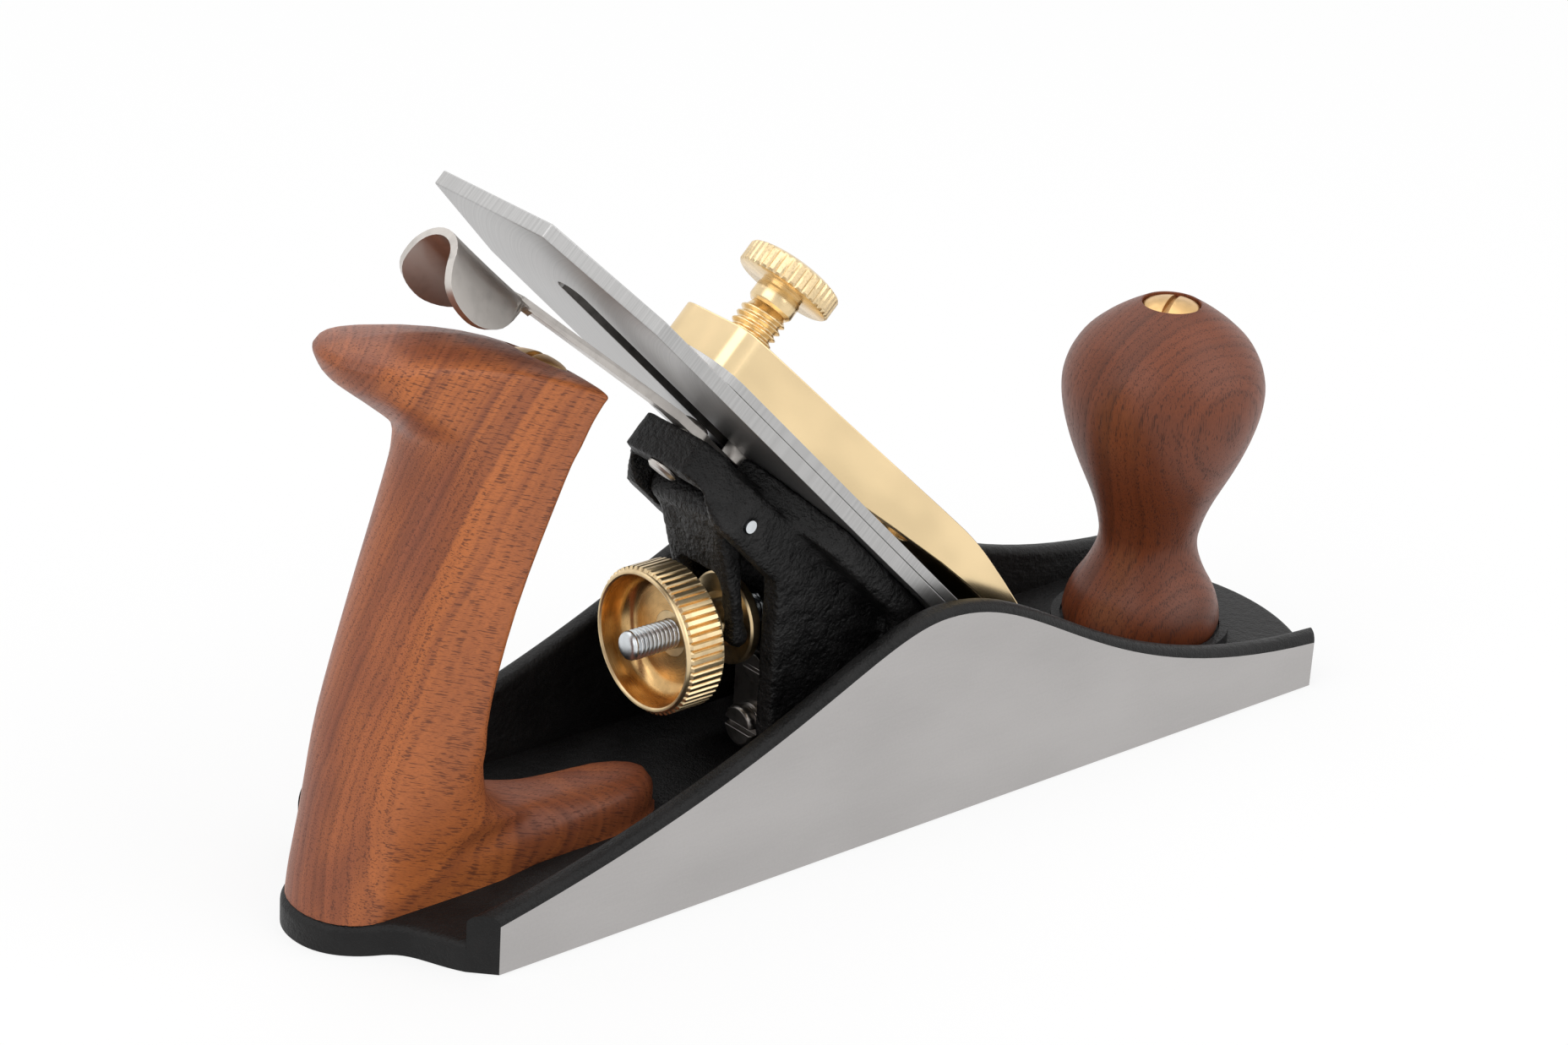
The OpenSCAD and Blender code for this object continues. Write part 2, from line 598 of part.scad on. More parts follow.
// Depth adjuster: the wheel turns on a grooved hub, and the hub moves along the stud
wheel_x = bed_x - wheel_back;
groove_x = bed_x - groove_back;
flange_t = 2.5;
web_t = 2.2;
rim_t = 1.9;
hub_d = 14;
sleeve_r = 4.6;
sleeve_x = wheel_x + wheel_band - web_t;
groove_rear_x = groove_x - groove_w / 2;

module depth_stud() color(ground_steel) translate([bed_x - stud_tip_back, 0, wheel_z])
    rotate([0, 90, 0]) rotate_extrude() polygon([[0, 0], [stud_d / 2 - 1, 0], [stud_d / 2, 1],
        [stud_d / 2, stud_tip_back - (bed_x - stud_face_x) + stud_root - 0.5],
        [0, stud_tip_back - (bed_x - stud_face_x) + stud_root - 0.5]]);

module depth_hub() color(brass) translate([sleeve_x, 0, wheel_z]) rotate([0, 90, 0]) rotate_extrude()
    polygon([[stud_d / 2 + run_gap, 0], [sleeve_r, 0], [sleeve_r, groove_rear_x - sleeve_x],
        [groove_d / 2, groove_rear_x - sleeve_x], [groove_d / 2, groove_rear_x - sleeve_x + groove_w],
        [flange_d / 2 - 0.4, groove_rear_x - sleeve_x + groove_w],
        [flange_d / 2, groove_rear_x - sleeve_x + groove_w + 0.4],
        [flange_d / 2, groove_rear_x - sleeve_x + groove_w + flange_t - 0.4],
        [flange_d / 2 - 0.4, groove_rear_x - sleeve_x + groove_w + flange_t],
        [stud_d / 2 + run_gap, groove_rear_x - sleeve_x + groove_w + flange_t]]);

module depth_wheel() color(brass) translate([wheel_x, 0, wheel_z]) rotate([0, 90, 0]) {
    r = wheel_d / 2;
    inner = r - rim_t;
    floor_x = wheel_band - web_t;
    bore = sleeve_r + run_gap;
    hub_l = groove_rear_x - wheel_x - bed_gap;
    difference() {
        translate([0, 0, 0.9]) linear_extrude(wheel_band - 1.8) polygon(ridges(wheel_ridges, r, ridge_depth));
        translate([0, 0, -1]) cylinder(r = inner + 0.5, h = wheel_band + 2);
    }
    rotate_extrude() polygon(concat(
        [[inner, 0.4], [inner + 0.4, 0], [r - ridge_depth - 0.6, 0], [r - ridge_depth, 0.6],
            [r - ridge_depth, wheel_band - 0.6], [r - ridge_depth - 0.6, wheel_band],
            [hub_d / 2 + 2.5, wheel_band + 0.6]],
        rest(curve([hub_d / 2 + 2.5, wheel_band + 0.6], [hub_d / 2 + 0.5, wheel_band + 0.9],
            [hub_d / 2, wheel_band + 1.5], [hub_d / 2, wheel_band + 3], 5)),
        [[hub_d / 2, hub_l], [bore, hub_l], [bore, floor_x]],
        curve([inner - 4.5, floor_x], [inner - 1.5, floor_x], [inner, floor_x - 1.5], [inner, floor_x - 4.5], 6)));
}

// Yoke: two arms down to the hub's groove and one finger up through the frog to the cap iron
yoke_half_w = frog_wall_w / 2 - frog_wall_t - side_gap;
arm_in_y = groove_d / 2 + 0.2;
arm_out_y = arm_in_y + 3.8;
pad_r = groove_w / 2 - 0.15;
finger_tip_n = iron_t + cap_iron_t;
yoke_arm = [groove_x - yoke_at[0], wheel_z - yoke_at[1]];
arm_side = [yoke_arm[1], -yoke_arm[0]] / norm(yoke_arm);

module yoke_arm_shape(wide) polygon([
    yoke_at + arm_side * wide, yoke_at - arm_side * wide,
    [groove_x, wheel_z] + yoke_arm * -0.35 - arm_side * arm_t / 2,
    [groove_x, wheel_z] - arm_side * arm_t / 2, [groove_x, wheel_z] + arm_side * arm_t / 2,
    [groove_x, wheel_z] + yoke_arm * -0.35 + arm_side * arm_t / 2]);

module yoke() color(japan) difference() {
    union() {
        both_sides() {
            across(arm_in_y, arm_out_y) yoke_arm_shape(yoke_hub_r - 0.6);
            across(arm_in_y, arm_out_y) translate([groove_x, wheel_z]) circle(r = pad_r);
        }
        // The arms join above the flange
        across(-arm_out_y + 1, arm_out_y - 1) polygon([yoke_at + arm_side * 3, yoke_at - arm_side * 3,
            yoke_at + yoke_arm * 0.52 - arm_side * 1.8, yoke_at + yoke_arm * 0.52 + arm_side * 1.8]);
        translate([yoke_at[0], 0, yoke_at[1]]) rotate([90, 0, 0])
            cylinder(r = yoke_hub_r, h = 2 * yoke_half_w, center = true);
        across(-finger_w / 2, finger_w / 2) polygon([
            bp(yoke_s, -yoke_n - 2.4), bp(finger_s + 1, -yoke_n - 1.2),
            bp(finger_s - finger_t / 2, -yoke_n + 1.6), bp(finger_s - finger_t / 2, finger_tip_n - 0.6),
            bp(finger_s - finger_t / 2 + 0.6, finger_tip_n), bp(finger_s + finger_t / 2 - 0.6, finger_tip_n),
            bp(finger_s + finger_t / 2, finger_tip_n - 0.6), bp(finger_s + finger_t / 2, -yoke_n + 3.2),
            bp(yoke_s, -yoke_n + 2.4)]);
    }
    translate([yoke_at[0], 0, yoke_at[1]]) rotate([90, 0, 0])
        cylinder(r = yoke_pin_d / 2 + run_gap, h = 4 * yoke_half_w, center = true);
}

module yoke_pin() color(ground_steel) translate([yoke_at[0], 0, yoke_at[1]]) rotate([90, 0, 0])
    cylinder(r = yoke_pin_d / 2, h = frog_wall_w, center = true);

// Lateral lever: a strip under the iron with a roller in its slot and a bent finger piece
lever_top_n = -lever_seat + lever_t + bed_gap;
stem_bend_s = frog_lug_s + 3;
stem_top_n = -stem_drop;
sheet_t = 1.5;
bend_r = 6.5;
bend_limit = 68;
rivet_head_n = 1.3;
roller_pin_d = 2.6;

// The sheet's cross-section, at an arc distance a from its ridge, q below its outer face
function bend_point(a, q) = let (
    lim = bend_r * bend_limit * PI / 180, g = min(abs(a), lim), ang = g / bend_r * 180 / PI,
    more = abs(a) - g, sgn = a < 0 ? -1 : 1)
    [sgn * ((bend_r - q) * sin(ang) + more * cos(ang)),
        -bend_r + (bend_r - q) * cos(ang) - more * sin(ang)];
// Half length of the sheet along the finger piece: narrow at the stem, wide and blunt at the free end
wing_line = spline([[0, 0], [0.08, 0.04], [0.17, 0.18], [0.24, 0.5], [0.31, 0.72], [0.42, 0.88], [0.55, 0.98],
    [0.66, 1], [0.78, 0.97], [0.88, 0.89], [0.95, 0.76], [0.99, 0.55], [1, 0.4]], 2);
sheet_cols = 12;
function wing_ring(k) = let (
    l = lever_w / 2 + (wing_l - lever_w / 2) * k[1], s = finger_piece_s + finger_piece_l * k[0])
    concat(
        [for (j = [0:sheet_cols]) let (p = bend_point(l * (2 * j / sheet_cols - 1), 0)) [-s, p[0], p[1]]],
        [for (j = [sheet_cols:-1:0]) let (p = bend_point(l * (2 * j / sheet_cols - 1), sheet_t)) [-s, p[0], p[1]]]);

module lateral_lever() color(ground_steel) difference() {
    union() {
        // Strip from the roller to the finger piece
        on_bed() translate([0, lever_w / 2, 0]) rotate([90, 0, 0]) linear_extrude(lever_w) polygon([
            [-roller_s, lever_top_n], [-stem_bend_s, lever_top_n],
            [-finger_piece_s - 4, stem_top_n + 0.2], [-finger_piece_s - 4, stem_top_n - lever_t + 0.4],
            [-stem_bend_s, lever_top_n - lever_t], [-roller_s, lever_top_n - lever_t]]);
        on_bed(roller_s, lever_top_n - lever_t) cylinder(r = lever_w / 2, h = lever_t);
        on_bed(rivet_s, lever_top_n - lever_t) cylinder(r = lever_w / 2 + 1, h = lever_t);
        on_bed(0, stem_top_n) skin([for (i = [len(wing_line) - 1:-1:0]) wing_ring(wing_line[i])], sheet = true);
    }
    on_bed(rivet_s, -30) cylinder(r = rivet_shank_d / 2 + run_gap, h = 40);
    on_bed(roller_s, -30) cylinder(r = roller_pin_d / 2 + seat_gap, h = 40);
}

module lateral_rivet() color(ground_steel) on_bed(rivet_s, 0) rotate_extrude() polygon(concat(
    [[0, -lever_seat - lug_t - 1], [2.6, -lever_seat - lug_t - 1], [3.2, -lever_seat - lug_t - 0.5],
        [3.2, -lever_seat - lug_t], [rivet_shank_d / 2, -lever_seat - lug_t],
        [rivet_shank_d / 2, lever_top_n + bed_gap], [3.2, lever_top_n + bed_gap]],
    rest(curve([3.2, lever_top_n + bed_gap], [3.2, lever_top_n + bed_gap + 0.8],
        [1.8, lever_top_n + rivet_head_n], [0, lever_top_n + rivet_head_n], 5))));

module lateral_roller() color(ground_steel) on_bed(roller_s, lever_top_n + bed_gap) difference() {
    cylinder(r = iron_slot_w / 2 - 0.15, h = iron_t - 0.4 - lever_top_n);
    translate([0, 0, -1]) cylinder(r = roller_pin_d / 2 + run_gap, h = 12);
}

module roller_rivet() color(ground_steel) on_bed(roller_s, lever_top_n - lever_t)
    cylinder(r = roller_pin_d / 2, h = lever_t + bed_gap + iron_t - 0.4 - lever_top_n);

// Iron and cap iron
edge_s = s_at_z(edge_back, iron_t);
module iron() color(ground_steel) difference() {
    on_bed() linear_extrude(iron_t) polygon([[-edge_s, -iron_w / 2], [-edge_s, iron_w / 2],
        [-iron_top_s + iron_clip_l, iron_w / 2], [-iron_top_s, iron_top_w / 2],
        [-iron_top_s, -iron_top_w / 2], [-iron_top_s + iron_clip_l, -iron_w / 2]]);
    // Ground bevel under the edge
    on_bed() translate([0, iron_w, 0]) rotate([90, 0, 0]) linear_extrude(2 * iron_w) polygon([
        [-edge_s, iron_t], [-edge_s - iron_t / tan(edge_angle), 0],
        [-edge_s - iron_t / tan(edge_angle), -1], [-edge_s + 2, -1], [-edge_s + 2, iron_t]]);
    // Slot with its round foot
    on_bed() translate([-iron_slot_top_s + iron_slot_w / 2, -iron_slot_w / 2, -1])
        cube([iron_slot_top_s - iron_slot_w / 2 - keyhole_s, iron_slot_w, iron_t + 2]);
    on_bed(iron_slot_top_s - iron_slot_w / 2, -1) cylinder(r = iron_slot_w / 2, h = iron_t + 2);
    on_bed(keyhole_s, -1) cylinder(r = keyhole_d / 2, h = iron_t + 2);
}
keyhole_s = 33;

cap_foot_s = edge_s + cap_iron_back;
hump_end_s = 30;
cap_hole_d = 13;
cap_low_n = iron_t;

// Underside of the cap iron from its flat down over the hump to its foot
cap_under = concat(
    [[-hump_end_s, cap_low_n]],
    rest(curve([-hump_end_s, cap_low_n], [-hump_end_s + 7, cap_low_n],
        [-hump_s - 7, cap_low_n + hump_h], [-hump_s, cap_low_n + hump_h], 8)),
    rest(curve([-hump_s, cap_low_n + hump_h], [-hump_s + 6, cap_low_n + hump_h],
        [-cap_foot_s - 4, cap_low_n + 1], [-cap_foot_s, cap_low_n], 6)));
cap_over = concat(
    [[-cap_foot_s, cap_low_n + 0.3]],
    rest(curve([-cap_foot_s, cap_low_n + 0.3], [-cap_foot_s - 4, cap_low_n + cap_iron_t],
        [-hump_s + 6, cap_low_n + hump_h + cap_iron_t], [-hump_s, cap_low_n + hump_h + cap_iron_t], 6)),
    rest(curve([-hump_s, cap_low_n + hump_h + cap_iron_t], [-hump_s - 7, cap_low_n + hump_h + cap_iron_t],
        [-hump_end_s + 7, cap_low_n + cap_iron_t], [-hump_end_s, cap_low_n + cap_iron_t], 8)));

module cap_iron() color(ground_steel) difference() {
    intersection() {
        on_bed() translate([0, iron_w / 2, 0]) rotate([90, 0, 0]) linear_extrude(iron_w)
            polygon(concat([[-cap_iron_top_s, cap_low_n]], cap_under, cap_over,
                [[-cap_iron_top_s, cap_low_n + cap_iron_t]]));
        on_bed() linear_extrude(30) polygon(concat(
            [[10, -iron_w / 2], [10, iron_w / 2], [-cap_iron_top_s + 9, iron_w / 2]],
            rest(curve([-cap_iron_top_s + 9, iron_w / 2], [-cap_iron_top_s + 3, iron_w / 2],
                [-cap_iron_top_s, iron_w / 2 - 5], [-cap_iron_top_s, iron_w / 2 - 12], 6)),
            rest(curve([-cap_iron_top_s, -iron_w / 2 + 12 - eps], [-cap_iron_top_s, -iron_w / 2 + 5],
                [-cap_iron_top_s + 3, -iron_w / 2], [-cap_iron_top_s + 9, -iron_w / 2], 6))));
    }
    on_bed(cap_iron_screw_s, 0) cylinder(r = cap_iron_screw_d / 2 + seat_gap, h = 20);
    on_bed(cap_screw_s, 0) cylinder(r = cap_hole_d / 2, h = 20);
    on_bed(finger_s, 0) translate([-finger_t / 2 - 0.35, -finger_w / 2 - 1, 0])
        cube([finger_t + 0.7, finger_w + 2, 20]);
}
cap_iron_screw_d = 6.4;
cap_iron_head_r = 7;
cap_iron_head_t = 3.6;

module cap_iron_screw() color(dark_steel) difference() {
    union() {
        on_bed(cap_iron_screw_s, -cap_iron_head_t) cylinder(r = cap_iron_head_r, h = cap_iron_head_t);
        on_bed(cap_iron_screw_s, -1) cylinder(r = cap_iron_screw_d / 2, h = 1 + iron_t + cap_iron_t);
    }
    on_bed(cap_iron_screw_s, -cap_iron_head_t - 1) translate([-20, -0.7, 0]) cube([40, 1.4, 2.4]);
}

// Lever cap
cap_low_s = 9.5;
cap_waist_s = 66;
cap_side_top = [[-boss_s, lever_cap_n + 0.3], [-cap_shoulder_s, lever_cap_n], [-72, lever_cap_n],
    [-60, lever_cap_n - 0.1], [-50, lever_cap_n - 1.2], [-42, lever_cap_n - 2.4], [-28, lever_cap_n - 4.8],
    [-16, lever_cap_n - 7.4]];
cap_rest_n = iron_t + cap_iron_t + 0.25;
cap_edge_n = cap_low_n + hump_h + cap_iron_t + 0.15;
kidney_r = 7.2;
kidney_slide = 13;
cap_pocket_s = [22, 106];
cap_wall = 3.5;

// One side's outline from the lower end to the top: straight, a long taper and a rounded corner
function cap_flank(side) = let (half = lever_cap_w / 2, b = boss_w / 2)
    [for (p = concat([[10, half], [-cap_waist_s, half]],
        spline([[-cap_waist_s - 6, half - 0.9], [-cap_waist_s - 15, half - 2.7], [-cap_shoulder_s, b + 8.3],
            [-thumb_s + 7, b + 6.2], [-thumb_s, b + 4.6], [-boss_s + 4.5, b + 3]], 3),
        rest(curve([-boss_s + 4.5, b + 3.1], [-boss_s + 1.5, b + 2], [-boss_s, b + 1], [-boss_s, b - 2.5], 7))))
        [p[0], side * p[1]]];
function pocket_flank(side) = let (half = lever_cap_w / 2 - cap_wall, b = boss_w / 2 + 8.3 - cap_wall)
    [[0, side * half], [-cap_waist_s - 1, side * half], [-cap_shoulder_s, side * b],
        [-cap_shoulder_s - 9, side * (b - 1.6)]];
function reversed(v) = [for (i = [len(v) - 1:-1:0]) v[i]];

module lever_cap() color(brass) difference() {
    intersection() {
        on_bed() translate([0, lever_cap_w / 2, 0]) rotate([90, 0, 0]) linear_extrude(lever_cap_w) polygon(concat(
            [[-boss_s, cap_rest_n]], spline(cap_side_top, 4),
            [[-cap_low_s, cap_edge_n + 1.2], [-cap_low_s - 0.4, cap_edge_n], [-cap_low_s - 3.5, cap_edge_n]],
            curve([-cap_low_s - 3.5, cap_edge_n], [-30, cap_edge_n + 2.8],
                [-53, cap_edge_n + 3.2], [-95, cap_rest_n], 8)));
        on_bed() linear_extrude(60) polygon(concat(cap_flank(1), reversed(cap_flank(-1))));
    }
    // Hollow underside
    intersection() {
        on_bed() translate([0, lever_cap_w / 2, 0]) rotate([90, 0, 0]) linear_extrude(lever_cap_w)
            polygon(concat([[-cap_pocket_s[1], 0], [-cap_pocket_s[1], lever_cap_n - lever_cap_t - 0.4],
                [-72, lever_cap_n - lever_cap_t - 0.6], [-43, lever_cap_n - lever_cap_t - 2.6],
                [-28, lever_cap_n - lever_cap_t - 4.4], [-cap_pocket_s[0], 0]]));
        on_bed(0, -1) linear_extrude(60) polygon(concat(pocket_flank(1), reversed(pocket_flank(-1))));
    }
    // Kidney hole: a wide round for the screw's head and a narrow slot for its neck
    on_bed(cap_screw_s - kidney_slide, 0) cylinder(r = kidney_r, h = 60);
    on_bed(cap_screw_s, 0) cylinder(r = cap_screw_shank_d / 2 + 0.35, h = 60);
    on_bed(cap_screw_s, 0) translate([0, -cap_screw_shank_d / 2 - 0.35, 0])
        cube([kidney_slide, cap_screw_shank_d + 0.7, 60]);
    on_bed(thumb_s, 0) cylinder(r = thumb_d / 2 + run_gap, h = 60);
}

cap_screw_head_r = 6.2;
cap_screw_seat_n = lever_cap_n + 0.15;
module lever_cap_screw() color(dark_steel) difference() {
    on_bed(cap_screw_s, 0) rotate_extrude() polygon(concat(
        [[0, -cap_screw_root + 0.3], [cap_screw_shank_d / 2, -cap_screw_root + 0.3],
            [cap_screw_shank_d / 2, cap_screw_seat_n], [cap_screw_head_r, cap_screw_seat_n + 0.3]],
        rest(curve([cap_screw_head_r, cap_screw_seat_n + 0.3], [cap_screw_head_r, cap_screw_seat_n + 2],
            [3, cap_screw_seat_n + 2.9], [0, cap_screw_seat_n + 2.9], 6))));
    on_bed(cap_screw_s, cap_screw_seat_n + 1.5) translate([-10, -0.6, 0]) cube([20, 1.2, 4]);
}

thumb_tip_n = iron_t + cap_iron_t + 0.1;
thread_pitch = 1.55;
module thumb_screw() color(brass) on_bed(thumb_s, 0) {
    top = thumb_head_n + thumb_head_t;
    neck_n = thumb_head_n - 2.4;
    turns = floor((neck_n - lever_cap_n - 1.2) / thread_pitch);
    rotate_extrude() polygon(concat(
        [[0, thumb_tip_n], [thumb_d / 2 - 1, thumb_tip_n], [thumb_d / 2, thumb_tip_n + 1]],
        [for (i = [0:turns - 1], k = [0:3]) [thumb_d / 2 - [0, 0.85, 0.85, 0][k],
            lever_cap_n + 1.2 + (i + [0.12, 0.38, 0.5, 0.76][k]) * thread_pitch]],
        [[thumb_d / 2, neck_n], [thumb_d / 2 - 0.2, neck_n + 0.3], [thumb_d / 2 - 0.2, thumb_head_n + 0.2],
            [0, thumb_head_n + 0.2]]));
    translate([0, 0, thumb_head_n]) linear_extrude(thumb_head_t)
        polygon(ridges(thumb_ridges, thumb_head_d / 2, ridge_depth - 0.1));
    rotate_extrude() polygon(concat([[0, top - 0.2], [thumb_head_d / 2 - 0.5, top - 0.2]],
        curve([thumb_head_d / 2 - 0.5, top], [thumb_head_d / 2 - 2.5, top + 1], [3, top + 1.2], [0, top + 1.2], 7)));
}

// Rear handle, a skin over flat rings that fan from its base to its top. Each knot holds the ring's
// rear x and z, its front x and z, the depth of its front round, and its width as shares of the
// grip's: overall and at the toe; the last value bows the ring up along its middle
drawn_h = 112;
drawn_base_l = 83;
tote_back_x = -23;
tote_knots = [
    [0, 0, 83, 0, 24, 1, 0.84, 0],
    [0.4, 3, 83, 3.2, 24, 1, 0.8, 0],
    [0.8, 5.5, 81.3, 5.8, 23, 1, 0.66, 0],
    [1.2, 7.5, 77.5, 7.6, 20, 1, 0.48, 0],
    [1.9, 11, 60, 8.9, 12, 1, 0.36, 0],
    [2.9, 16, 43.5, 12, 6.5, 1, 0.8, 0],
    [3.8, 21, 38.6, 17.5, 5, 1, 1, 0],
    [6.7, 36, 36.4, 33.5, 4, 1, 1, 0],
    [13.3, 57.5, 42.2, 56, 4, 1, 1, 0],
    [20.2, 78, 52.2, 79.5, 4, 1, 1, 0],
    [22.2, 86, 55.8, 85.6, 4, 1, 1, 0],
    [21.3, 91.6, 58.1, 89.4, 4, 1, 1, 0.3],
    [14.5, 97.8, 60, 92.2, 3.5, 1, 1, 1.5],
    [7.3, 103.8, 60.6, 93, 3, 1, 1, 3.2],
    [4.8, 108.2, 60.6, 93.4, 3, 1, 1, 4],
    [5.4, 110, 60.2, 93.9, 3, 0.97, 1, 4.2],
    [7.5, 111, 59, 95, 3, 0.8, 1, 4.6],
    [11, 111.4, 56.5, 96.6, 3, 0.42, 1, 5],
    [13, 111.5, 55, 97.4, 3, 0.06, 1, 5.1]];
tote_steps = 2;
tote_rear_round = 10.5;
tote_toe = [34, 50];
rear_points = 4;
side_points = 4;
front_points = 3;

function rounding(d, depth) = d >= depth ? 1 : sqrt(max(0, 1 - pow(1 - d / depth, 2)));
function waist(d, share) = let (q = min(1, max(0, (d - tote_toe[0]) / (tote_toe[1] - tote_toe[0]))))
    1 - (1 - share) * q * q * (3 - 2 * q);
// Places along a ring of length l, closer together in its two rounds
function tote_places(l, front) = concat(
    [for (j = [0:rear_points - 1]) tote_rear_round * (1 - cos(90 * j / rear_points))],
    [for (j = [0:side_points]) tote_rear_round + (l - tote_rear_round - front) * j / side_points],
    [for (j = [1:front_points]) l - front * (1 - sin(90 * j / front_points))]);
function tote_ring(k) = let (
    sx = tote_base_l / drawn_base_l, sz = tote_h / drawn_h,
    r = [tote_back_x + k[0] * sx, k[1] * sz], f = [tote_back_x + k[2] * sx, k[3] * sz],
    l = norm(f - r), along = (f - r) / l, up = [-along[1], along[0]],
    side = [for (d = tote_places(l, k[4])) let (
        e = 2 * d / l - 1, p = r + along * d + up * k[7] * (1 - e * e),
        w = k[5] * waist(d, k[6]) * rounding(d, tote_rear_round) * rounding(l - d, k[4]))
        [rear_x + p[0], -w * tote_t / 2, sole_t + p[1]]],
    n = len(side))
    concat([for (p = side) [p[0], -p[1], p[2]]], [for (j = [n - 2:-1:1]) side[j]]);

nut_head_t = 2.6;
nut_barrel_d = 8.4;
nut_barrel_l = 14;
tote_nut_l = 105;

module tote() color(handle_wood) difference() {
    skin([for (k = spline(tote_knots, tote_steps)) tote_ring(k)]);
    translate([bolt_foot_x, 0, sole_t - 1]) cylinder(r = tote_boss_r + side_gap, h = tote_boss_h + 1 + side_gap);
    on_bolt(-2) cylinder(r = bolt_d / 2 + side_gap, h = 120);
    on_bolt(tote_nut_l - nut_barrel_l - 1) cylinder(r = nut_barrel_d / 2 + side_gap, h = 40);
    on_bolt(tote_nut_l) cylinder(r = nut_d / 2 + side_gap, h = 40);
}

// Domed round nut with a slot and a threaded barrel, seat at z = 0
module round_nut() difference() {
    union() {
        rotate_extrude() polygon(concat([[0, 0], [nut_d / 2, 0], [nut_d / 2, nut_head_t - 0.9]],
            rest(curve([nut_d / 2, nut_head_t - 0.9], [nut_d / 2 - 0.6, nut_head_t],
                [nut_d / 5, nut_head_t + 0.7], [0, nut_head_t + 0.7], 6))));
        translate([0, 0, -nut_barrel_l]) cylinder(r = nut_barrel_d / 2, h = nut_barrel_l);
    }
    translate([0, 0, -nut_barrel_l - 1]) cylinder(r = bolt_d / 2 + seat_gap, h = nut_barrel_l);
    translate([-nut_d, -0.7, nut_head_t - 1]) cube([2 * nut_d, 1.4, 4]);
}

module tote_bolt() color(ground_steel) on_bolt(tapped_floor - sole_t + 1)
    cylinder(r = bolt_d / 2, h = tote_nut_l - tapped_floor + sole_t - 1 - 3);
module tote_nut() color(brass) on_bolt(tote_nut_l + seat_gap) rotate([0, 0, 25]) round_nut();

// Front knob, turned; knots are shares of its height with a radius
knob_nut_z = knob_seat_z + knob_h - nut_head_t - 1;
knob_line = spline([
    [knob_foot_d / 2 - 0.8, 0], [knob_foot_d / 2, 0.035], [knob_foot_d / 2 - 0.1, 0.085],
    [knob_foot_d / 2 - 3, 0.148], [knob_neck_d / 2 + 1.1, 0.195], [knob_neck_d / 2, 0.27],
    [knob_neck_d / 2 + 0.45, 0.325], [knob_neck_d / 2 + 2.3, 0.385], [knob_d / 2 - 7, 0.455],
    [knob_d / 2 - 3.6, 0.53], [knob_d / 2 - 1, 0.625], [knob_d / 2, 0.725],
    [knob_d / 2 - 0.9, 0.812], [knob_d / 2 - 3.9, 0.895], [knob_d / 2 - 9.3, 0.958],
    [nut_d / 2 + 0.4, 0.99]], 3);

module knob() color(knob_wood) translate([knob_x, 0, 0]) difference() {
    translate([0, 0, knob_seat_z + seat_gap]) rotate_extrude() polygon(concat([[0, 0]],
        [for (p = knob_line) [p[0], p[1] * knob_h]], [[0, 0.99 * knob_h]]));
    cylinder(r = bolt_d / 2 + side_gap, h = 120);
    translate([0, 0, knob_nut_z - nut_barrel_l - 1]) cylinder(r = nut_barrel_d / 2 + side_gap, h = 40);
    translate([0, 0, knob_nut_z]) cylinder(r = nut_d / 2 + side_gap / 2, h = 40);
}
module knob_bolt() color(ground_steel) translate([knob_x, 0, tapped_floor + 0.5])
    cylinder(r = bolt_d / 2, h = knob_nut_z - tapped_floor - 0.5 - 3);
module knob_nut() color(brass) translate([knob_x, 0, knob_nut_z + seat_gap]) rotate([0, 0, 30]) round_nut();

plane_body();
frog();
frog_screws();
frog_washers();
frog_adjust_screw();
frog_adjust_plate();
frog_plate_screw();
yoke();
yoke_pin();
depth_stud();
depth_hub();
depth_wheel();
lateral_lever();
lateral_rivet();
lateral_roller();
roller_rivet();
iron();
cap_iron();
cap_iron_screw();
lever_cap();
lever_cap_screw();
thumb_screw();
tote();
tote_bolt();
tote_nut();
knob();
knob_bolt();
knob_nut();
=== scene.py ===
"""Looks of a metal smoothing plane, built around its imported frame."""
import json
import math

import bmesh
import bpy
from bpy.props import FloatProperty, FloatVectorProperty, IntProperty, PointerProperty
from mathutils import Matrix, Vector, noise


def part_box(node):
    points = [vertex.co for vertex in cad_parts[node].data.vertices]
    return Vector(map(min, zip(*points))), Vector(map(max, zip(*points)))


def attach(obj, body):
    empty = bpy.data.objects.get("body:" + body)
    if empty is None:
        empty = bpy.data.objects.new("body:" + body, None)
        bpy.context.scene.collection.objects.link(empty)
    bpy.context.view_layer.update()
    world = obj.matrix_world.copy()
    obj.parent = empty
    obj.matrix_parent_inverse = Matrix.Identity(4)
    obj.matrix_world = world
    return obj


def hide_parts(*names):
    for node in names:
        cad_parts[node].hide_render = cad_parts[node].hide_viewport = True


bl_info = {
    "name": "Smoothing plane",
    "version": (1, 0, 0),
    "blender": (4, 5, 0),
    "location": "View3D > Sidebar > Plane",
    "description": "Models the visible pieces of a metal smoothing plane around its packed frame",
    "category": "Object",
}

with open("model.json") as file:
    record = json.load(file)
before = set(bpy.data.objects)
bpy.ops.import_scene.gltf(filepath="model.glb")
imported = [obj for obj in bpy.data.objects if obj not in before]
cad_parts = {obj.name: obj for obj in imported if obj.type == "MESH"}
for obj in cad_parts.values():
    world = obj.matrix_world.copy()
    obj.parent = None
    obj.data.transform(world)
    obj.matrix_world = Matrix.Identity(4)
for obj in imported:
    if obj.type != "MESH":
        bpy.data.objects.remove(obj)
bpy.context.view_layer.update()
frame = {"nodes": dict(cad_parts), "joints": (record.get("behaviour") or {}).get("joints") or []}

MM = 0.001
NODES = frame["nodes"]
JOINTS = {joint["name"]: joint for joint in frame["joints"]}

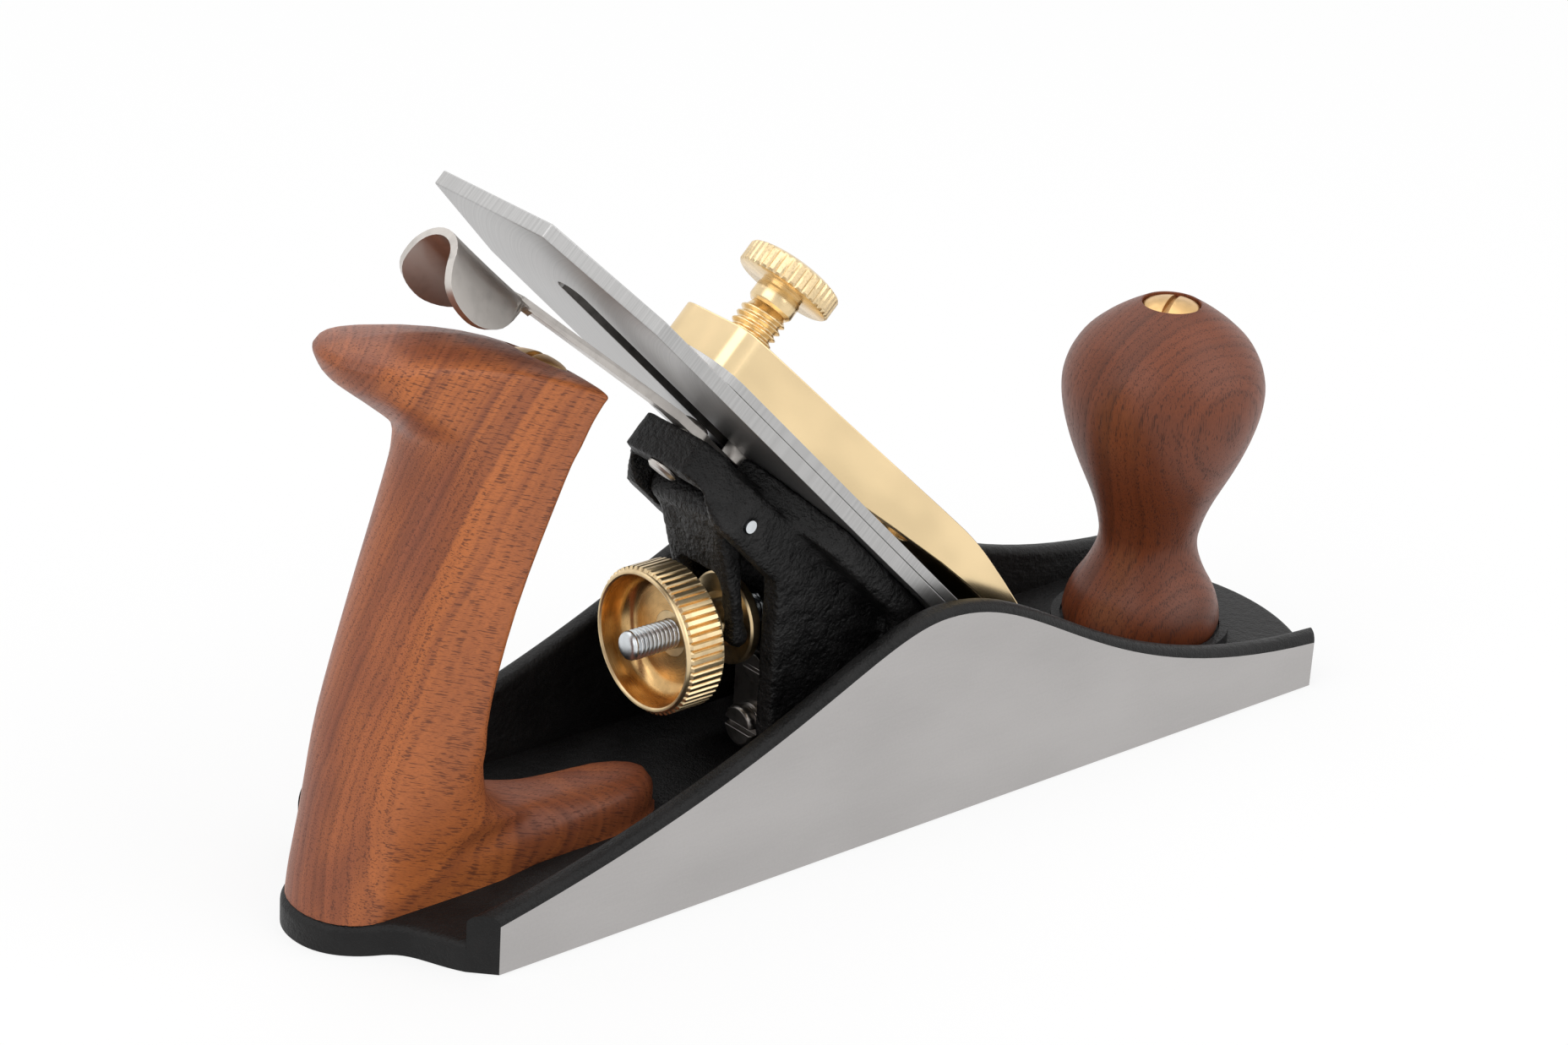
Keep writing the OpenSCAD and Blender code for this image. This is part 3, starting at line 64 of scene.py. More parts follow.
# The bed: a slope up from its foot at the sole, with its normal pointing up and ahead
BED_NORMAL = Vector(JOINTS["lateral_swing"]["axis"]).normalized()
BED_UP = Vector((-BED_NORMAL.z, 0, BED_NORMAL.x))
RIVET = Vector(JOINTS["lateral_swing"]["pos_m"])
BED_FOOT = RIVET - BED_UP * (RIVET.z / BED_UP.z)
BED_TILT = math.atan2(BED_NORMAL.x, BED_NORMAL.z)

# Matrices from a modelling space in millimetres to the frame
UPRIGHT = Matrix.Scale(MM, 4)
ON_BED = Matrix.Translation(BED_FOOT) @ Matrix.Rotation(BED_TILT, 4, "Y") @ Matrix.Scale(MM, 4)


def box_of(node):
    """A CAD node's lowest and highest corners, in millimetres."""
    return [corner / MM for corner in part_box(node)]


def along_x(x, y, z):
    """Space whose Z runs along the plane from a point in metres, for pieces turned about that line."""
    return Matrix.Translation((x, y, z)) @ Matrix.Rotation(math.pi / 2, 4, "Y") @ Matrix.Scale(MM, 4)


BODY_LOW, BODY_HIGH = box_of("plane_body")
WHEEL_LOW, WHEEL_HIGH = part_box("depth_wheel")
WHEEL_AXIS = (WHEEL_LOW.z + WHEEL_HIGH.z) / 2


def length_setting(name, text, metres):
    """A length, in metres."""
    return FloatProperty(name=name, description=text, default=metres, unit="LENGTH")


def angle_setting(name, text, degrees):
    """An angle that is written in degrees."""
    return FloatProperty(name=name, description=text, default=math.radians(degrees), unit="ROTATION")


def colour_setting(name, text, *parts):
    """A colour, in linear red, green and blue."""
    return FloatVectorProperty(name=name, description=text, default=parts, subtype="COLOR")


class CastingSettings(bpy.types.PropertyGroup):
    """Sizes and colours of the castings."""
    sole: length_setting("Sole", "Thickness of the sole", 0.006)
    cheek: length_setting("Cheek", "Thickness of a cheek", 0.0045)
    cheek_end: length_setting("Cheek end", "Height of a cheek at its ends", 0.012)
    heel_reach: length_setting("Heel reach", "How far the heel runs behind the cheeks", 0.024)
    toe_reach: length_setting("Toe reach", "How far the toe runs ahead of the cheeks", 0.012)
    crown: length_setting("Crown", "Radius of the rounded top edge of a cheek", 0.0018)
    lip: length_setting("Lip", "Radius of the round top edges of heel and toe", 0.0016)
    edge: length_setting("Edge", "Rounding of the casting's other edges", 0.0007)
    sand_grain: length_setting("Sand grain", "Size of the net that rounds frog and yoke", 0.00065)
    japan: colour_setting("Japanning", "Colour of the black coat", 0.0055, 0.0053, 0.0053)
    ground: colour_setting("Ground face", "Colour of the ground faces", 0.43, 0.415, 0.408)


class HandleSettings(bpy.types.PropertyGroup):
    """Sizes and colours of the two handles."""
    grip: length_setting("Grip", "Thickness of the rear handle", 0.025)
    rear_round: length_setting("Rear round", "Depth of the rounded back of the grip", 0.0105)
    bolt_lean: angle_setting("Bolt lean", "Lean of the rear handle's bolt from upright", 22)
    bolt_foot: length_setting("Bolt foot", "Place of the bolt's foot along the plane", -0.114)
    nut_seat: length_setting("Nut seat", "Length of the rear bolt up to its nut's seat", 0.105)
    knob: length_setting("Knob", "Greatest diameter of the knob", 0.043)
    light_wood: colour_setting("Handle wood", "Light colour of the rear handle", 0.465, 0.138, 0.036)
    # The dark wood colour gives the grain, and also the painted shade over the rounded back of the rear
    # handle.
    dark_wood: colour_setting("Dark wood and shade", "Dark colour of the rear handle", 0.2, 0.056, 0.025)
    knob_wood: colour_setting("Knob wood", "Light colour of the knob", 0.17, 0.043, 0.0155)


class BrassSettings(bpy.types.PropertyGroup):
    """Sizes and colours of the brass pieces."""
    wheel_ridges: IntProperty(name="Wheel ridges", description="Ridges round the depth wheel",
                              default=60)
    thumb_ridges: IntProperty(name="Screw ridges", description="Ridges round the thumb screw's head",
                              default=38)
    ridge_depth: length_setting("Ridge depth", "Depth of the grooves between ridges", 0.0006)
    thread_pitch: length_setting("Thread pitch", "Pitch of the thumb screw's thread", 0.00155)
    brass: colour_setting("Brass", "Colour of the brass", 0.83, 0.64, 0.375)
    # Darker brass: painted shade inside the wheel's bowl, and with grime in the wheel's grooves; the
    # nuts take it as their duller colour.
    bowl: colour_setting("Bowl brass", "Colour of the brass inside the wheel", 0.66, 0.42, 0.18)


class SteelSettings(bpy.types.PropertyGroup):
    """Sizes and colours of the steel pieces."""
    arris: length_setting("Arris", "Width of the small bevels on ground steel", 0.00025)
    stud_pitch: length_setting("Stud pitch", "Pitch of the depth adjuster's stud", 0.001)
    bright: colour_setting("Bright steel", "Colour of ground steel", 0.47, 0.465, 0.46)
    dark: colour_setting("Dark steel", "Colour of oiled steel", 0.3, 0.28, 0.265)
    lever: colour_setting("Lever steel", "Colour of the lateral lever", 0.6, 0.565, 0.53)
    zinc: colour_setting("Zinc", "Colour of the plated stud and pin", 0.66, 0.69, 0.71)


class StageSettings(bpy.types.PropertyGroup):
    """Camera and light."""
    place: FloatVectorProperty(name="Camera place", description="Where the camera stands",
                               subtype="TRANSLATION", default=(-0.50423, -0.5587, 0.39244))
    azimuth: angle_setting("Azimuth", "Turn of the view about the upright axis", -41.43)
    elevation: angle_setting("Elevation", "Slope of the view", 24.24)
    roll: angle_setting("Roll", "Turn of the camera about its own axis", 3.65)
    lens: FloatProperty(name="Lens", description="Focal length on a 36 mm sensor, in millimetres",
                        default=95.4)
    daylight: FloatProperty(name="Daylight", description="Strength of the surrounding light",
                            default=0.62)


# Shader building


class Signal:
    """A shader socket that takes part in Python expressions."""

    def __init__(self, net, socket):
        self.net = net
        self.socket = socket

    def _maths(self, operation, first, second=0.0):
        return self.net.add("Math", {"operation": operation}, {0: first, 1: second})

    def __add__(self, other):
        return self._maths("ADD", self, other)

    __radd__ = __add__

    def __sub__(self, other):
        return self._maths("SUBTRACT", self, other)

    def __rsub__(self, other):
        return self._maths("SUBTRACT", other, self)

    def __mul__(self, other):
        return self._maths("MULTIPLY", self, other)

    __rmul__ = __mul__

    def __truediv__(self, other):
        return self._maths("DIVIDE", self, other)

    def __pow__(self, other):
        return self._maths("POWER", self, other)

    def sine(self):
        return self._maths("SINE", self)

    def between(self, low, high):
        """0 below low, 1 above high, with a smooth step from one to the other."""
        return self.net.add("MapRange", {"interpolation_type": "SMOOTHSTEP"},
                            {"Value": self, "From Min": low, "From Max": high}, "Result")


class Net:
    """A node tree under construction."""

    def __init__(self, tree):
        self.tree = tree
        tree.nodes.clear()

    def node(self, kind, settings=None, sockets=None):
        """Adds a node of a kind, with its settings, and the values or signals of its sockets."""
        node = self.tree.nodes.new("ShaderNode" + kind)
        for key, value in (settings or {}).items():
            setattr(node, key, value)
        for key, value in (sockets or {}).items():
            self.join(node.inputs[key], value)
        return node

    def add(self, kind, settings=None, sockets=None, out=0):
        """Adds a node and gives back the signal of one of its outputs."""
        return Signal(self, self.node(kind, settings, sockets).outputs[out])

    def join(self, socket, value):
        """Links a signal to a socket, or sets the socket to a value."""
        if isinstance(value, Signal):
            self.tree.links.new(value.socket, socket)
        else:
            socket.default_value = value

    def rays(self):
        """Signals of the rays from the camera, and of those from a mirror or through glass."""
        path = self.node("LightPath").outputs
        seen, glossy, through = (Signal(self, path["Is " + kind + " Ray"])
                                 for kind in ("Camera", "Glossy", "Transmission"))
        return seen, glossy + through


class Finish(Net):
    """A procedural material under construction, round one principled surface."""

    def __init__(self, name, constants):
        self.material = bpy.data.materials.new(name)
        self.material.use_nodes = True
        super().__init__(self.material.node_tree)
        self.surface = self.node("BsdfPrincipled", None, constants)
        self.shown = Signal(self, self.surface.outputs[0])
        self.output = self.node("OutputMaterial", None, {"Surface": self.shown})

    def place(self, size=(1, 1, 1), turn=(0, 0, 0), centre=(0, 0, 0)):
        """Object coordinates about a centre in metres, turned, and counted in sizes in millimetres."""
        where = self.add("TexCoord", out="Object")
        return self.add("Mapping", {"vector_type": "TEXTURE"}, {
            "Vector": where, "Location": centre, "Rotation": turn,
            "Scale": [part * MM for part in size]})

    def noise(self, size, turn=(0, 0, 0), detail=2.0, rough=0.5, distort=0.0):
        """Noise from 0 to 1 whose grains have a size in millimetres."""
        return self.add("TexNoise", None, {
            "Vector": self.place(size, turn), "Scale": 1.0, "Detail": detail, "Roughness": rough,
            "Distortion": distort}, "Fac")

    def lines(self, across, spacing, detail=2.0):
        """Noise along one signal in millimetres alone, as fine lines of a spacing."""
        return self.add("TexNoise", {"noise_dimensions": "1D"},
                        {"W": across / spacing, "Scale": 1.0, "Detail": detail}, "Fac")

    def apart(self, vector):
        """The three parts of a vector."""
        return [Signal(self, socket) for socket in self.node("SeparateXYZ", None, {0: vector}).outputs]

    def blend(self, factor, first, second):
        """A colour between two colours."""
        first, second = (value if isinstance(value, Signal) else (*value, 1.0)
                         for value in (first, second))
        return self.add("Mix", {"data_type": "RGBA"}, {0: factor, 6: first, 7: second}, 2)

    def coat(self, mask, first, second, rough, height, depth, strength):
        """Sets the colour by a mask, the roughness, and the relief by a height and its depth."""
        bump = self.add("Bump", None, {"Height": height, "Distance": depth * MM,
                                       "Strength": strength}, "Normal")
        for socket, value in (("Base Color", self.blend(mask, first, second)), ("Roughness", rough),
                              ("Normal", bump)):
            self.join(self.surface.inputs[socket], value)
        return self.material


def metal(name):
    """A finish for bare metal."""
    return Finish(name, {"Metallic": 1.0})


def shade(colour, factor):
    """A colour made darker or lighter."""
    return [part * factor for part in colour]


def japanning(name, colour):
    """Baked black coat over a sand casting: fine orange peel, dull hollows and shinier bumps."""
    finish = Finish(name, {"Specular IOR Level": 0.2})
    grains = finish.noise((1.5, 1.5, 1.5), detail=4.0, rough=0.62)
    skin = finish.noise((0.42, 0.42, 0.42), detail=2.0)
    patches = finish.noise((14, 14, 14), detail=3.0)
    return finish.coat(patches.between(0.35, 0.7), colour, shade(colour, 2.1),
                       0.3 + 0.2 * patches + 0.14 * grains, grains * 0.7 + skin * 0.3, 0.55, 1.0)


def rough_casting(name, colour):
    """Black coat over a coarse casting: lumps left by the sand, with a painted highlight that lightens
    their crests.
    """
    finish = Finish(name, {"Specular IOR Level": 0.26})
    lumps = finish.noise((3.4, 3.4, 3.4), detail=3.0, rough=0.55)
    grains = finish.noise((0.95, 0.95, 0.95), detail=3.0, rough=0.6)
    # Painted highlight: the raised lumps take a lighter colour.
    return finish.coat(lumps.between(0.4, 0.7), colour, shade(colour, 2.2),
                       0.22 + 0.2 * lumps + 0.2 * grains, 0.55 * lumps + 0.45 * grains, 1.5, 1.0)


def ground_iron(name, colour):
    """Cheeks and sole ground flat: an even pale grey with a faint grain along the plane."""
    finish = metal(name)
    grain = finish.noise((9, 0.25, 0.16), detail=3.0, rough=0.6)
    cloud = finish.noise((38, 30, 22), detail=2.0)
    speck = finish.noise((0.5, 0.5, 0.5), detail=2.0)
    tone = 0.5 * cloud + 0.3 * grain + 0.2 * speck
    return finish.coat(tone.between(0.3, 0.7), shade(colour, 0.93), shade(colour, 1.07),
                       0.43 + 0.1 * grain, grain, 0.012, 0.4)


def blade_steel(name, colour):
    """Surface-ground tool steel: arcs left by the grinding wheel across the blade."""
    finish = metal(name)
    x, y, _ = finish.apart(finish.place(turn=(0, BED_TILT, 0), centre=tuple(BED_FOOT)))
    # Distance from the grinding wheel's centre, which lies beside the blade, a little below its top
    along, beside = x + 118, y + 62
    reach = (along * along + beside * beside) ** 0.5
    arcs = finish.lines(reach, 0.35, 4.0)
    broad = finish.lines(reach, 4.0, 2.0)
    cloud = finish.noise((18, 18, 18), detail=2.0)
    return finish.coat((0.8 * arcs + 0.2 * broad).between(0.3, 0.7), shade(colour, 0.88),
                       shade(colour, 1.04), 0.33 + 0.07 * arcs + 0.05 * cloud, arcs, 0.01, 0.5)


def satin_steel(name, colour, rough, turn=(0, 0, 0), grime=0.5):
    """Plain steel rubbed one way, with grime in its hollows."""
    finish = metal(name)
    rub = finish.noise((7, 0.22, 0.22), turn, detail=3.0, rough=0.65)
    cloud = finish.noise((3.2, 3.2, 3.2), detail=3.0, rough=0.5)
    return finish.coat(cloud.between(0.42, 0.8), colour, shade(colour, 1 - grime),
                       rough + 0.14 * rub + 0.05 * cloud, 0.6 * rub + 0.4 * cloud, 0.02, 0.45)


def rubbed_brass(name, colour):
    """Cast brass polished by hand down the slope."""
    finish = metal(name)
    rub = finish.noise((26, 0.3, 0.3), (0, BED_TILT, 0), detail=3.0, rough=0.6)
    cloud = finish.noise((30, 16, 16), (0, BED_TILT, 0), detail=2.0)
    return finish.coat(cloud.between(0.3, 0.7), shade(colour, 1.1), shade(colour, 0.88),
                       0.13 + 0.1 * rub + 0.08 * cloud, rub, 0.006, 0.35)


def turned_brass(name, colour, centre, turn, rough=0.14):
    """Brass off the lathe: fine rings round the axis, which is the pattern's Z."""
    finish = metal(name)
    x, y, z = finish.apart(finish.place(turn=turn, centre=centre))
    reach = (x * x + y * y) ** 0.5
    rings = finish.lines(reach + z * 0.73, 0.22, 3.0)
    cloud = finish.noise((2.6, 2.6, 2.6), detail=3.0)
    return finish.coat(cloud.between(0.35, 0.75), colour, shade(colour, 0.78),
                       rough + 0.14 * rings + 0.08 * cloud, rings, 0.012, 0.45)


def knurled_brass(name, colour):
    """Brass with a coarse granular skin left by the knurling wheel."""
    finish = metal(name)
    grains = finish.noise((0.42, 0.42, 0.42), detail=3.0, rough=0.6)
    return finish.coat(grains.between(0.25, 0.55), shade(colour, 0.72), shade(colour, 1.03),
                       0.24 + 0.16 * grains, grains, 0.07, 0.5)


def hardwood(name, light, dark, centre, turn, bow=0.0, rise_along=0.0, rise_across=0.0, back_shade=0.0):
    """Oiled hardwood: layers across the pattern's Y, short dark pores along its X, and painted shade
    that darkens the middle of its width.
    """
    finish = Finish(name, {"Coat Weight": 0.07, "Coat Roughness": 0.3, "Specular IOR Level": 0.32})
    x, y, z = finish.apart(finish.place(turn=turn, centre=centre))
    sway = finish.noise((52, 24, 30), turn, detail=1.0)
    wobble = finish.noise((11, 4, 4), turn, detail=2.0)
    side = x - 0.4 * z
    reach = y + bow * side * side + rise_along * x + rise_across * z + 5.0 * sway + 0.9 * wobble
    row_gap = 2.1
    rows = (reach * (2 * math.pi / row_gap)).sine().between(0.1, 1.0)
    bands = finish.lines(reach, 1.5, 2.0)
    broad = finish.lines(reach, 5.0, 1.0)
    pores = finish.noise((3.4, 0.26, 0.26), turn, detail=2.0, rough=0.55) + 0.06 * rows
    pores = pores.between(0.56, 0.65)
    flecks = finish.noise((0.8, 0.14, 0.14), turn, detail=1.0)
    sheen = finish.noise((7, 9, 26), turn, detail=1.0)
    # Painted shade: near the middle of the width, over the rounded back, the top and the front edge,
    # the wood takes a darker tone.
    inside = 1 - ((y * y) ** 0.5).between(8.5, 12.6)
    body = finish.blend((0.3 * bands + 0.7 * broad).between(0.36, 0.78), light, dark)
    shade_tone = finish.blend(bands.between(0.3, 0.7), shade(dark, 1.2), shade(dark, 0.85))
    for share, tone in ((inside * back_shade, shade_tone), (sheen.between(0.4, 0.75) * 0.35, shade(light, 1.2)),
                        (rows * 0.16, shade(dark, 0.9)),
                        (flecks.between(0.45, 0.7) * 0.35, shade(dark, 0.75))):
        body = finish.blend(share, body, tone)
    return finish.coat(pores * 0.72, body, (dark[0] * 0.4, dark[1] * 0.4, dark[2] * 0.5),
                       0.36 + 0.16 * pores + 0.1 * flecks, 1 - pores * 0.8 - 0.2 * flecks, 0.03, 0.5)


# Shapes


def curve(a, b, c, d, steps):
    """Points of a cubic curve after its first, in millimetres."""
    points = []
    for step in range(1, steps + 1):
        t = step / steps
        u = 1 - t
        points.append(tuple(u ** 3 * p + 3 * u ** 2 * t * q + 3 * u * t * t * r + t ** 3 * s
                            for p, q, r, s in zip(a, b, c, d)))
    return points


def smooth_line(knots, steps):
    """A smooth line through given knots of any number of values."""
    line = []
    for i in range(len(knots) - 1):
        a, b, c, d = (knots[min(max(i + k, 0), len(knots) - 1)] for k in (-1, 0, 1, 2))
        for step in range(steps):
            t = step / steps
            line.append([0.5 * (2 * q + (r - p) * t + (2 * p - 5 * q + 4 * r - s) * t * t
                                + (3 * q - p - 3 * r + s) * t ** 3) for p, q, r, s in zip(a, b, c, d)])
    return line + [list(knots[-1])]


def prism(outline, start, end, across=False):
    """A straight solid over (x, y) points raised along Z, or over (x, z) points across the plane."""
    bm = bmesh.new()
    corners = [(p[0], start, p[1]) if across else (p[0], p[1], start) for p in outline]
    face = bm.faces.new([bm.verts.new(corner) for corner in corners])
    grown = bmesh.ops.extrude_face_region(bm, geom=[face])["geom"]
    rise = (0, end - start, 0) if across else (0, 0, end - start)
    bmesh.ops.translate(bm, verts=[v for v in grown if isinstance(v, bmesh.types.BMVert)], vec=rise)
    bmesh.ops.recalc_face_normals(bm, faces=bm.faces)
    return bm


def turned(profile, steps, closed=False):
    """A solid turned about Z from (radius, height) points; an open profile ends on the axis."""
    bm = bmesh.new()
    verts = [bm.verts.new((radius, 0, height)) for radius, height in profile]
    edges = [bm.edges.new(pair) for pair in zip(verts, verts[1:])]
    if closed:
        edges.append(bm.edges.new((verts[-1], verts[0])))
    bmesh.ops.spin(bm, geom=verts + edges, cent=(0, 0, 0), axis=(0, 0, 1), dvec=(0, 0, 0),
                   angle=2 * math.pi, steps=steps, use_merge=True, use_duplicate=False)
    bmesh.ops.remove_doubles(bm, verts=bm.verts, dist=1e-4)
    bmesh.ops.recalc_face_normals(bm, faces=bm.faces)
    return bm


def rounded(bm, edges, radius):
    """Rounds some edges of a mesh."""
    bmesh.ops.bevel(bm, geom=edges, offset=radius, offset_type="OFFSET", segments=5, profile=0.5,
                    affect="EDGES", material=-1, clamp_overlap=True)


def relaxed(bm, verts, rounds):
    """Draws verts towards their neighbours."""
    for _ in range(rounds):
        bmesh.ops.smooth_vert(bm, verts=verts, factor=0.5, use_axis_x=True, use_axis_y=True,
                              use_axis_z=True)


def turn_of(vert):
    """A vert's place round the Z axis, in turns."""
    return math.atan2(vert.co.y, vert.co.x) / (2 * math.pi)


def draw_in(vert, depth):
    """Moves a vert towards the Z axis."""
    share = 1 - depth / math.hypot(vert.co.x, vert.co.y)
    vert.co.x *= share
    vert.co.y *= share


# Heights of the steps round one ridge of a knurled rim
RIDGE = (1, 1, 1, 1, 1, 0.45, 0, 0.45)


def ridged(bm, radius, count, depth):
    """Cuts even grooves into the verts at a radius."""
    for vert in bm.verts:
        if abs(math.hypot(vert.co.x, vert.co.y) - radius) < 1e-3:
            step = round(turn_of(vert) * count * len(RIDGE)) % len(RIDGE)
            draw_in(vert, depth * (1 - RIDGE[step]))


def threaded(radius, pitch, low, high, steps=40, hand=1, depth=0.6, tip=1.0):
    """A rod along Z with a helical thread, whose low end is rounded over the length of its tip."""
    rings = int((high - low) / pitch * 10)
    edge = min(pitch, radius / 3)
    straight = high - low - tip - edge
    profile = [(0, low)] + curve((0, low), (radius * 0.8, low), (radius * 0.97, low + tip * 0.3),
                                 (radius, low + tip), 8)
    profile += [(radius, low + tip + straight * k / rings) for k in range(1, rings + 1)]
    profile += [(radius - edge, high), (0, high)]
    bm = turned(profile, steps)
    for vert in bm.verts:
        if math.hypot(vert.co.x, vert.co.y) > radius - 1e-3:
            phase = (vert.co.z / pitch - hand * turn_of(vert)) % 1
            cut = min(max((1 - abs(2 * phase - 1) - 0.15) / 0.7, 0), 1)
            draw_in(vert, depth * pitch * cut)
    return bm


def linked(name, data):
    """A new object in the scene."""
    thing = bpy.data.objects.new(name, data)
    bpy.context.scene.collection.objects.link(thing)
    return thing


def solid(bm, name="scratch"):
    """A new object that holds a mesh, such as a scratch one for the boolean operations."""
    mesh = bpy.data.meshes.new(name)
    bm.to_mesh(mesh)
    bm.free()
    return linked(name, mesh)


def evaluated(thing):
    """The mesh that an object's modifiers make."""
    shown = thing.evaluated_get(bpy.context.evaluated_depsgraph_get())
    return bpy.data.meshes.new_from_object(shown)


def worked(base, others, operation):
    """Joins solids to a base or cuts them out of it, and gives back a bmesh."""
    thing = solid(base)
    for other in others:
        tool = solid(other)
        change = thing.modifiers.new("work", "BOOLEAN")
        change.operation = operation
        change.solver = "EXACT"
        change.object = tool
        result = evaluated(thing)
        thing.modifiers.clear()
        thing.data = result
        bpy.data.objects.remove(tool)
    bm = bmesh.new()
    bm.from_mesh(thing.data)
    bpy.data.objects.remove(thing)
    bmesh.ops.remove_doubles(bm, verts=bm.verts, dist=1e-4)
    bmesh.ops.dissolve_degenerate(bm, edges=bm.edges, dist=1e-4)
    return bm


def sand_cast(bm, grain, lumps):
    """Gives a blocky solid the round edges and the uneven skin of a sand casting."""
    thing = solid(bm)
    net = thing.modifiers.new("net", "REMESH")
    net.mode = "VOXEL"
    net.voxel_size = grain
    mesh = evaluated(thing)
    bpy.data.objects.remove(thing)
    bm = bmesh.new()
    bm.from_mesh(mesh)
    relaxed(bm, bm.verts, 5)
    bm.normal_update()
    # The noise adds up to about 1.3 at most, so the skin stays inside the solid
    coarse, fine, most = 2.4, 1.1, 1.3
    for vert in bm.verts:
        height = noise.noise(vert.co / coarse) + 0.5 * noise.noise(vert.co / fine) - most
        vert.co += vert.normal * lumps * height
    return bm


def merged_copy(node):
    """A copy of a CAD node's mesh in millimetres, with its corners merged and its flat faces whole."""
    bm = bmesh.new()
    bm.from_mesh(NODES[node].data)
    bmesh.ops.scale(bm, verts=bm.verts, vec=(1 / MM,) * 3)
    bmesh.ops.remove_doubles(bm, verts=bm.verts, dist=1e-3)
    bmesh.ops.dissolve_limit(bm, angle_limit=math.radians(0.4), use_dissolve_boundaries=False,
                             verts=bm.verts, edges=bm.edges, delimit=set())
    return bm


def piece(name, bm, space, body, slot, finishes, node, edge=0.0, sharp=32, layers=2):
    """Puts a finished mesh into the scene as a piece that rides on a body in place of a node."""
    bm.transform(space)
    thing = solid(bm, name)
    thing.data.shade_smooth()
    thing.data.set_sharp_from_angle(angle=math.radians(sharp))
    for finish in finishes:
        thing.data.materials.append(finish_of(finish))
    if edge:
        soften = thing.modifiers.new("soft edges", "BEVEL")
        soften.width = edge * MM
        soften.segments = layers
        soften.limit_method = "ANGLE"
        soften.angle_limit = math.radians(sharp)
        soften.harden_normals = True
        soften.use_clamp_overlap = True
    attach(thing, body)
    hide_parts(node)


def softened(node, name, body, slot, finish, edge=0.0, **rest):
    """Makes a piece from a CAD node's own form, with soft edges."""
    piece(name, merged_copy(node), UPRIGHT, body, slot, [finish], node, edge, **rest)


def dress(node, finish):
    """Gives a CAD node that keeps its own mesh its finish."""
    NODES[node].data.materials.clear()
    NODES[node].data.materials.append(finish_of(finish))


def finish_of(name):
    """A finish by name, made once."""
    made = bpy.data.materials.get(name)
    if made:
        return made
    scene = bpy.context.scene
    casting, handle = scene.plane_casting, scene.plane_handles
    brass, steel = scene.plane_brass, scene.plane_steel
    wheel_centre = (0, 0, WHEEL_AXIS)
    thumb_low, thumb_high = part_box("thumb_screw")
    thumb_centre = tuple((thumb_low + thumb_high) / 2)
    upright, ahead, on_bed = (0, 0, 0), (0, math.pi / 2, 0), (0, BED_TILT, 0)
    makers = {
        "japanning": lambda: japanning(name, casting.japan),
        "rough_casting": lambda: rough_casting(name, casting.japan),
        "ground_iron": lambda: ground_iron(name, casting.ground),
        "blade_steel": lambda: blade_steel(name, steel.bright),
        "lever_steel": lambda: satin_steel(name, steel.lever, 0.26, on_bed, 0.16),
        "screw_steel": lambda: satin_steel(name, steel.dark, 0.24, grime=0.5),
        "slot_steel": lambda: satin_steel(name, shade(steel.dark, 0.35), 0.45, on_bed, 0.5),
        "stud_steel": lambda: satin_steel(name, steel.zinc, 0.2, grime=0.2),
        "rubbed_brass": lambda: rubbed_brass(name, brass.brass),
        "wheel_brass": lambda: turned_brass(name, shade(brass.brass, 0.93), wheel_centre, ahead, 0.24),
        # Painted shade inside the wheel's bowl.
        "bowl_shade_brass": lambda: turned_brass(name, brass.bowl, wheel_centre, ahead),
        # Grime and painted shade in the wheel's grooves.
        "groove_grime_shade_brass": lambda: knurled_brass(name, shade(brass.bowl, 0.9)),
        "screw_brass": lambda: turned_brass(name, brass.brass, thumb_centre, on_bed),
        "knurled_brass": lambda: knurled_brass(name, shade(brass.brass, 0.9)),
        "nut_brass": lambda: turned_brass(name, shade(brass.bowl, 1.06), (0, 0, 0), upright, 0.22),
        # Painted shade darkens the middle of the rear handle's width.
        "figured_handle_wood": lambda: hardwood(name, handle.light_wood, handle.dark_wood,
                                                (-0.1, 0, 0.03), (0, handle.bolt_lean, 0), bow=0.009,
                                                rise_across=-0.09, back_shade=0.85),
        "figured_knob_wood": lambda: hardwood(name, handle.knob_wood, shade(handle.knob_wood, 0.55),
                                              (0.07, 0, 0.045), (0, -math.pi / 2, 0), rise_along=0.16),
    }
    return makers[name]()


# Operators: one for each piece or group of like pieces


def body_outline(size):
    """Outline of the sole, and the line of the cheeks' rear and front ends, in millimetres."""
    half = BODY_HIGH.y
    inner = half - size.cheek / MM
    rear = BODY_LOW.x + size.heel_reach / MM
    front = BODY_HIGH.x - size.toe_reach / MM
    heel_corner, toe_corner, heel_round = 4.5, 3.0, 14.0
    middle = ((rear + BODY_LOW.x) / 2 - 1.5, heel_round)
    shoulder = rear - heel_corner
    heel = [(shoulder, inner)]
    heel += curve(heel[0], (shoulder - 4, inner - 6), (shoulder - 4, heel_round + 2.5), middle, 12)
    heel += curve(middle, (BODY_LOW.x + 4.5, heel_round - 2.5), (BODY_LOW.x, heel_round / 2),
                  (BODY_LOW.x, 0), 14)
    sag = size.toe_reach / MM - toe_corner
    radius = (inner * inner + sag * sag) / (2 * sag)
    spread = math.asin(inner / radius)
    turns = [spread * (k / 12 - 1) for k in range(25)]
    toe = [(BODY_HIGH.x - radius + radius * math.cos(turn), radius * math.sin(turn)) for turn in turns]
    outline = [(rear, -half), (front, -half)] + toe + [(front, half), (rear, half)] + heel
    outline += [(x, -y) for x, y in reversed(heel[:-1])]
    return outline, rear, front, inner, heel_corner, toe_corner


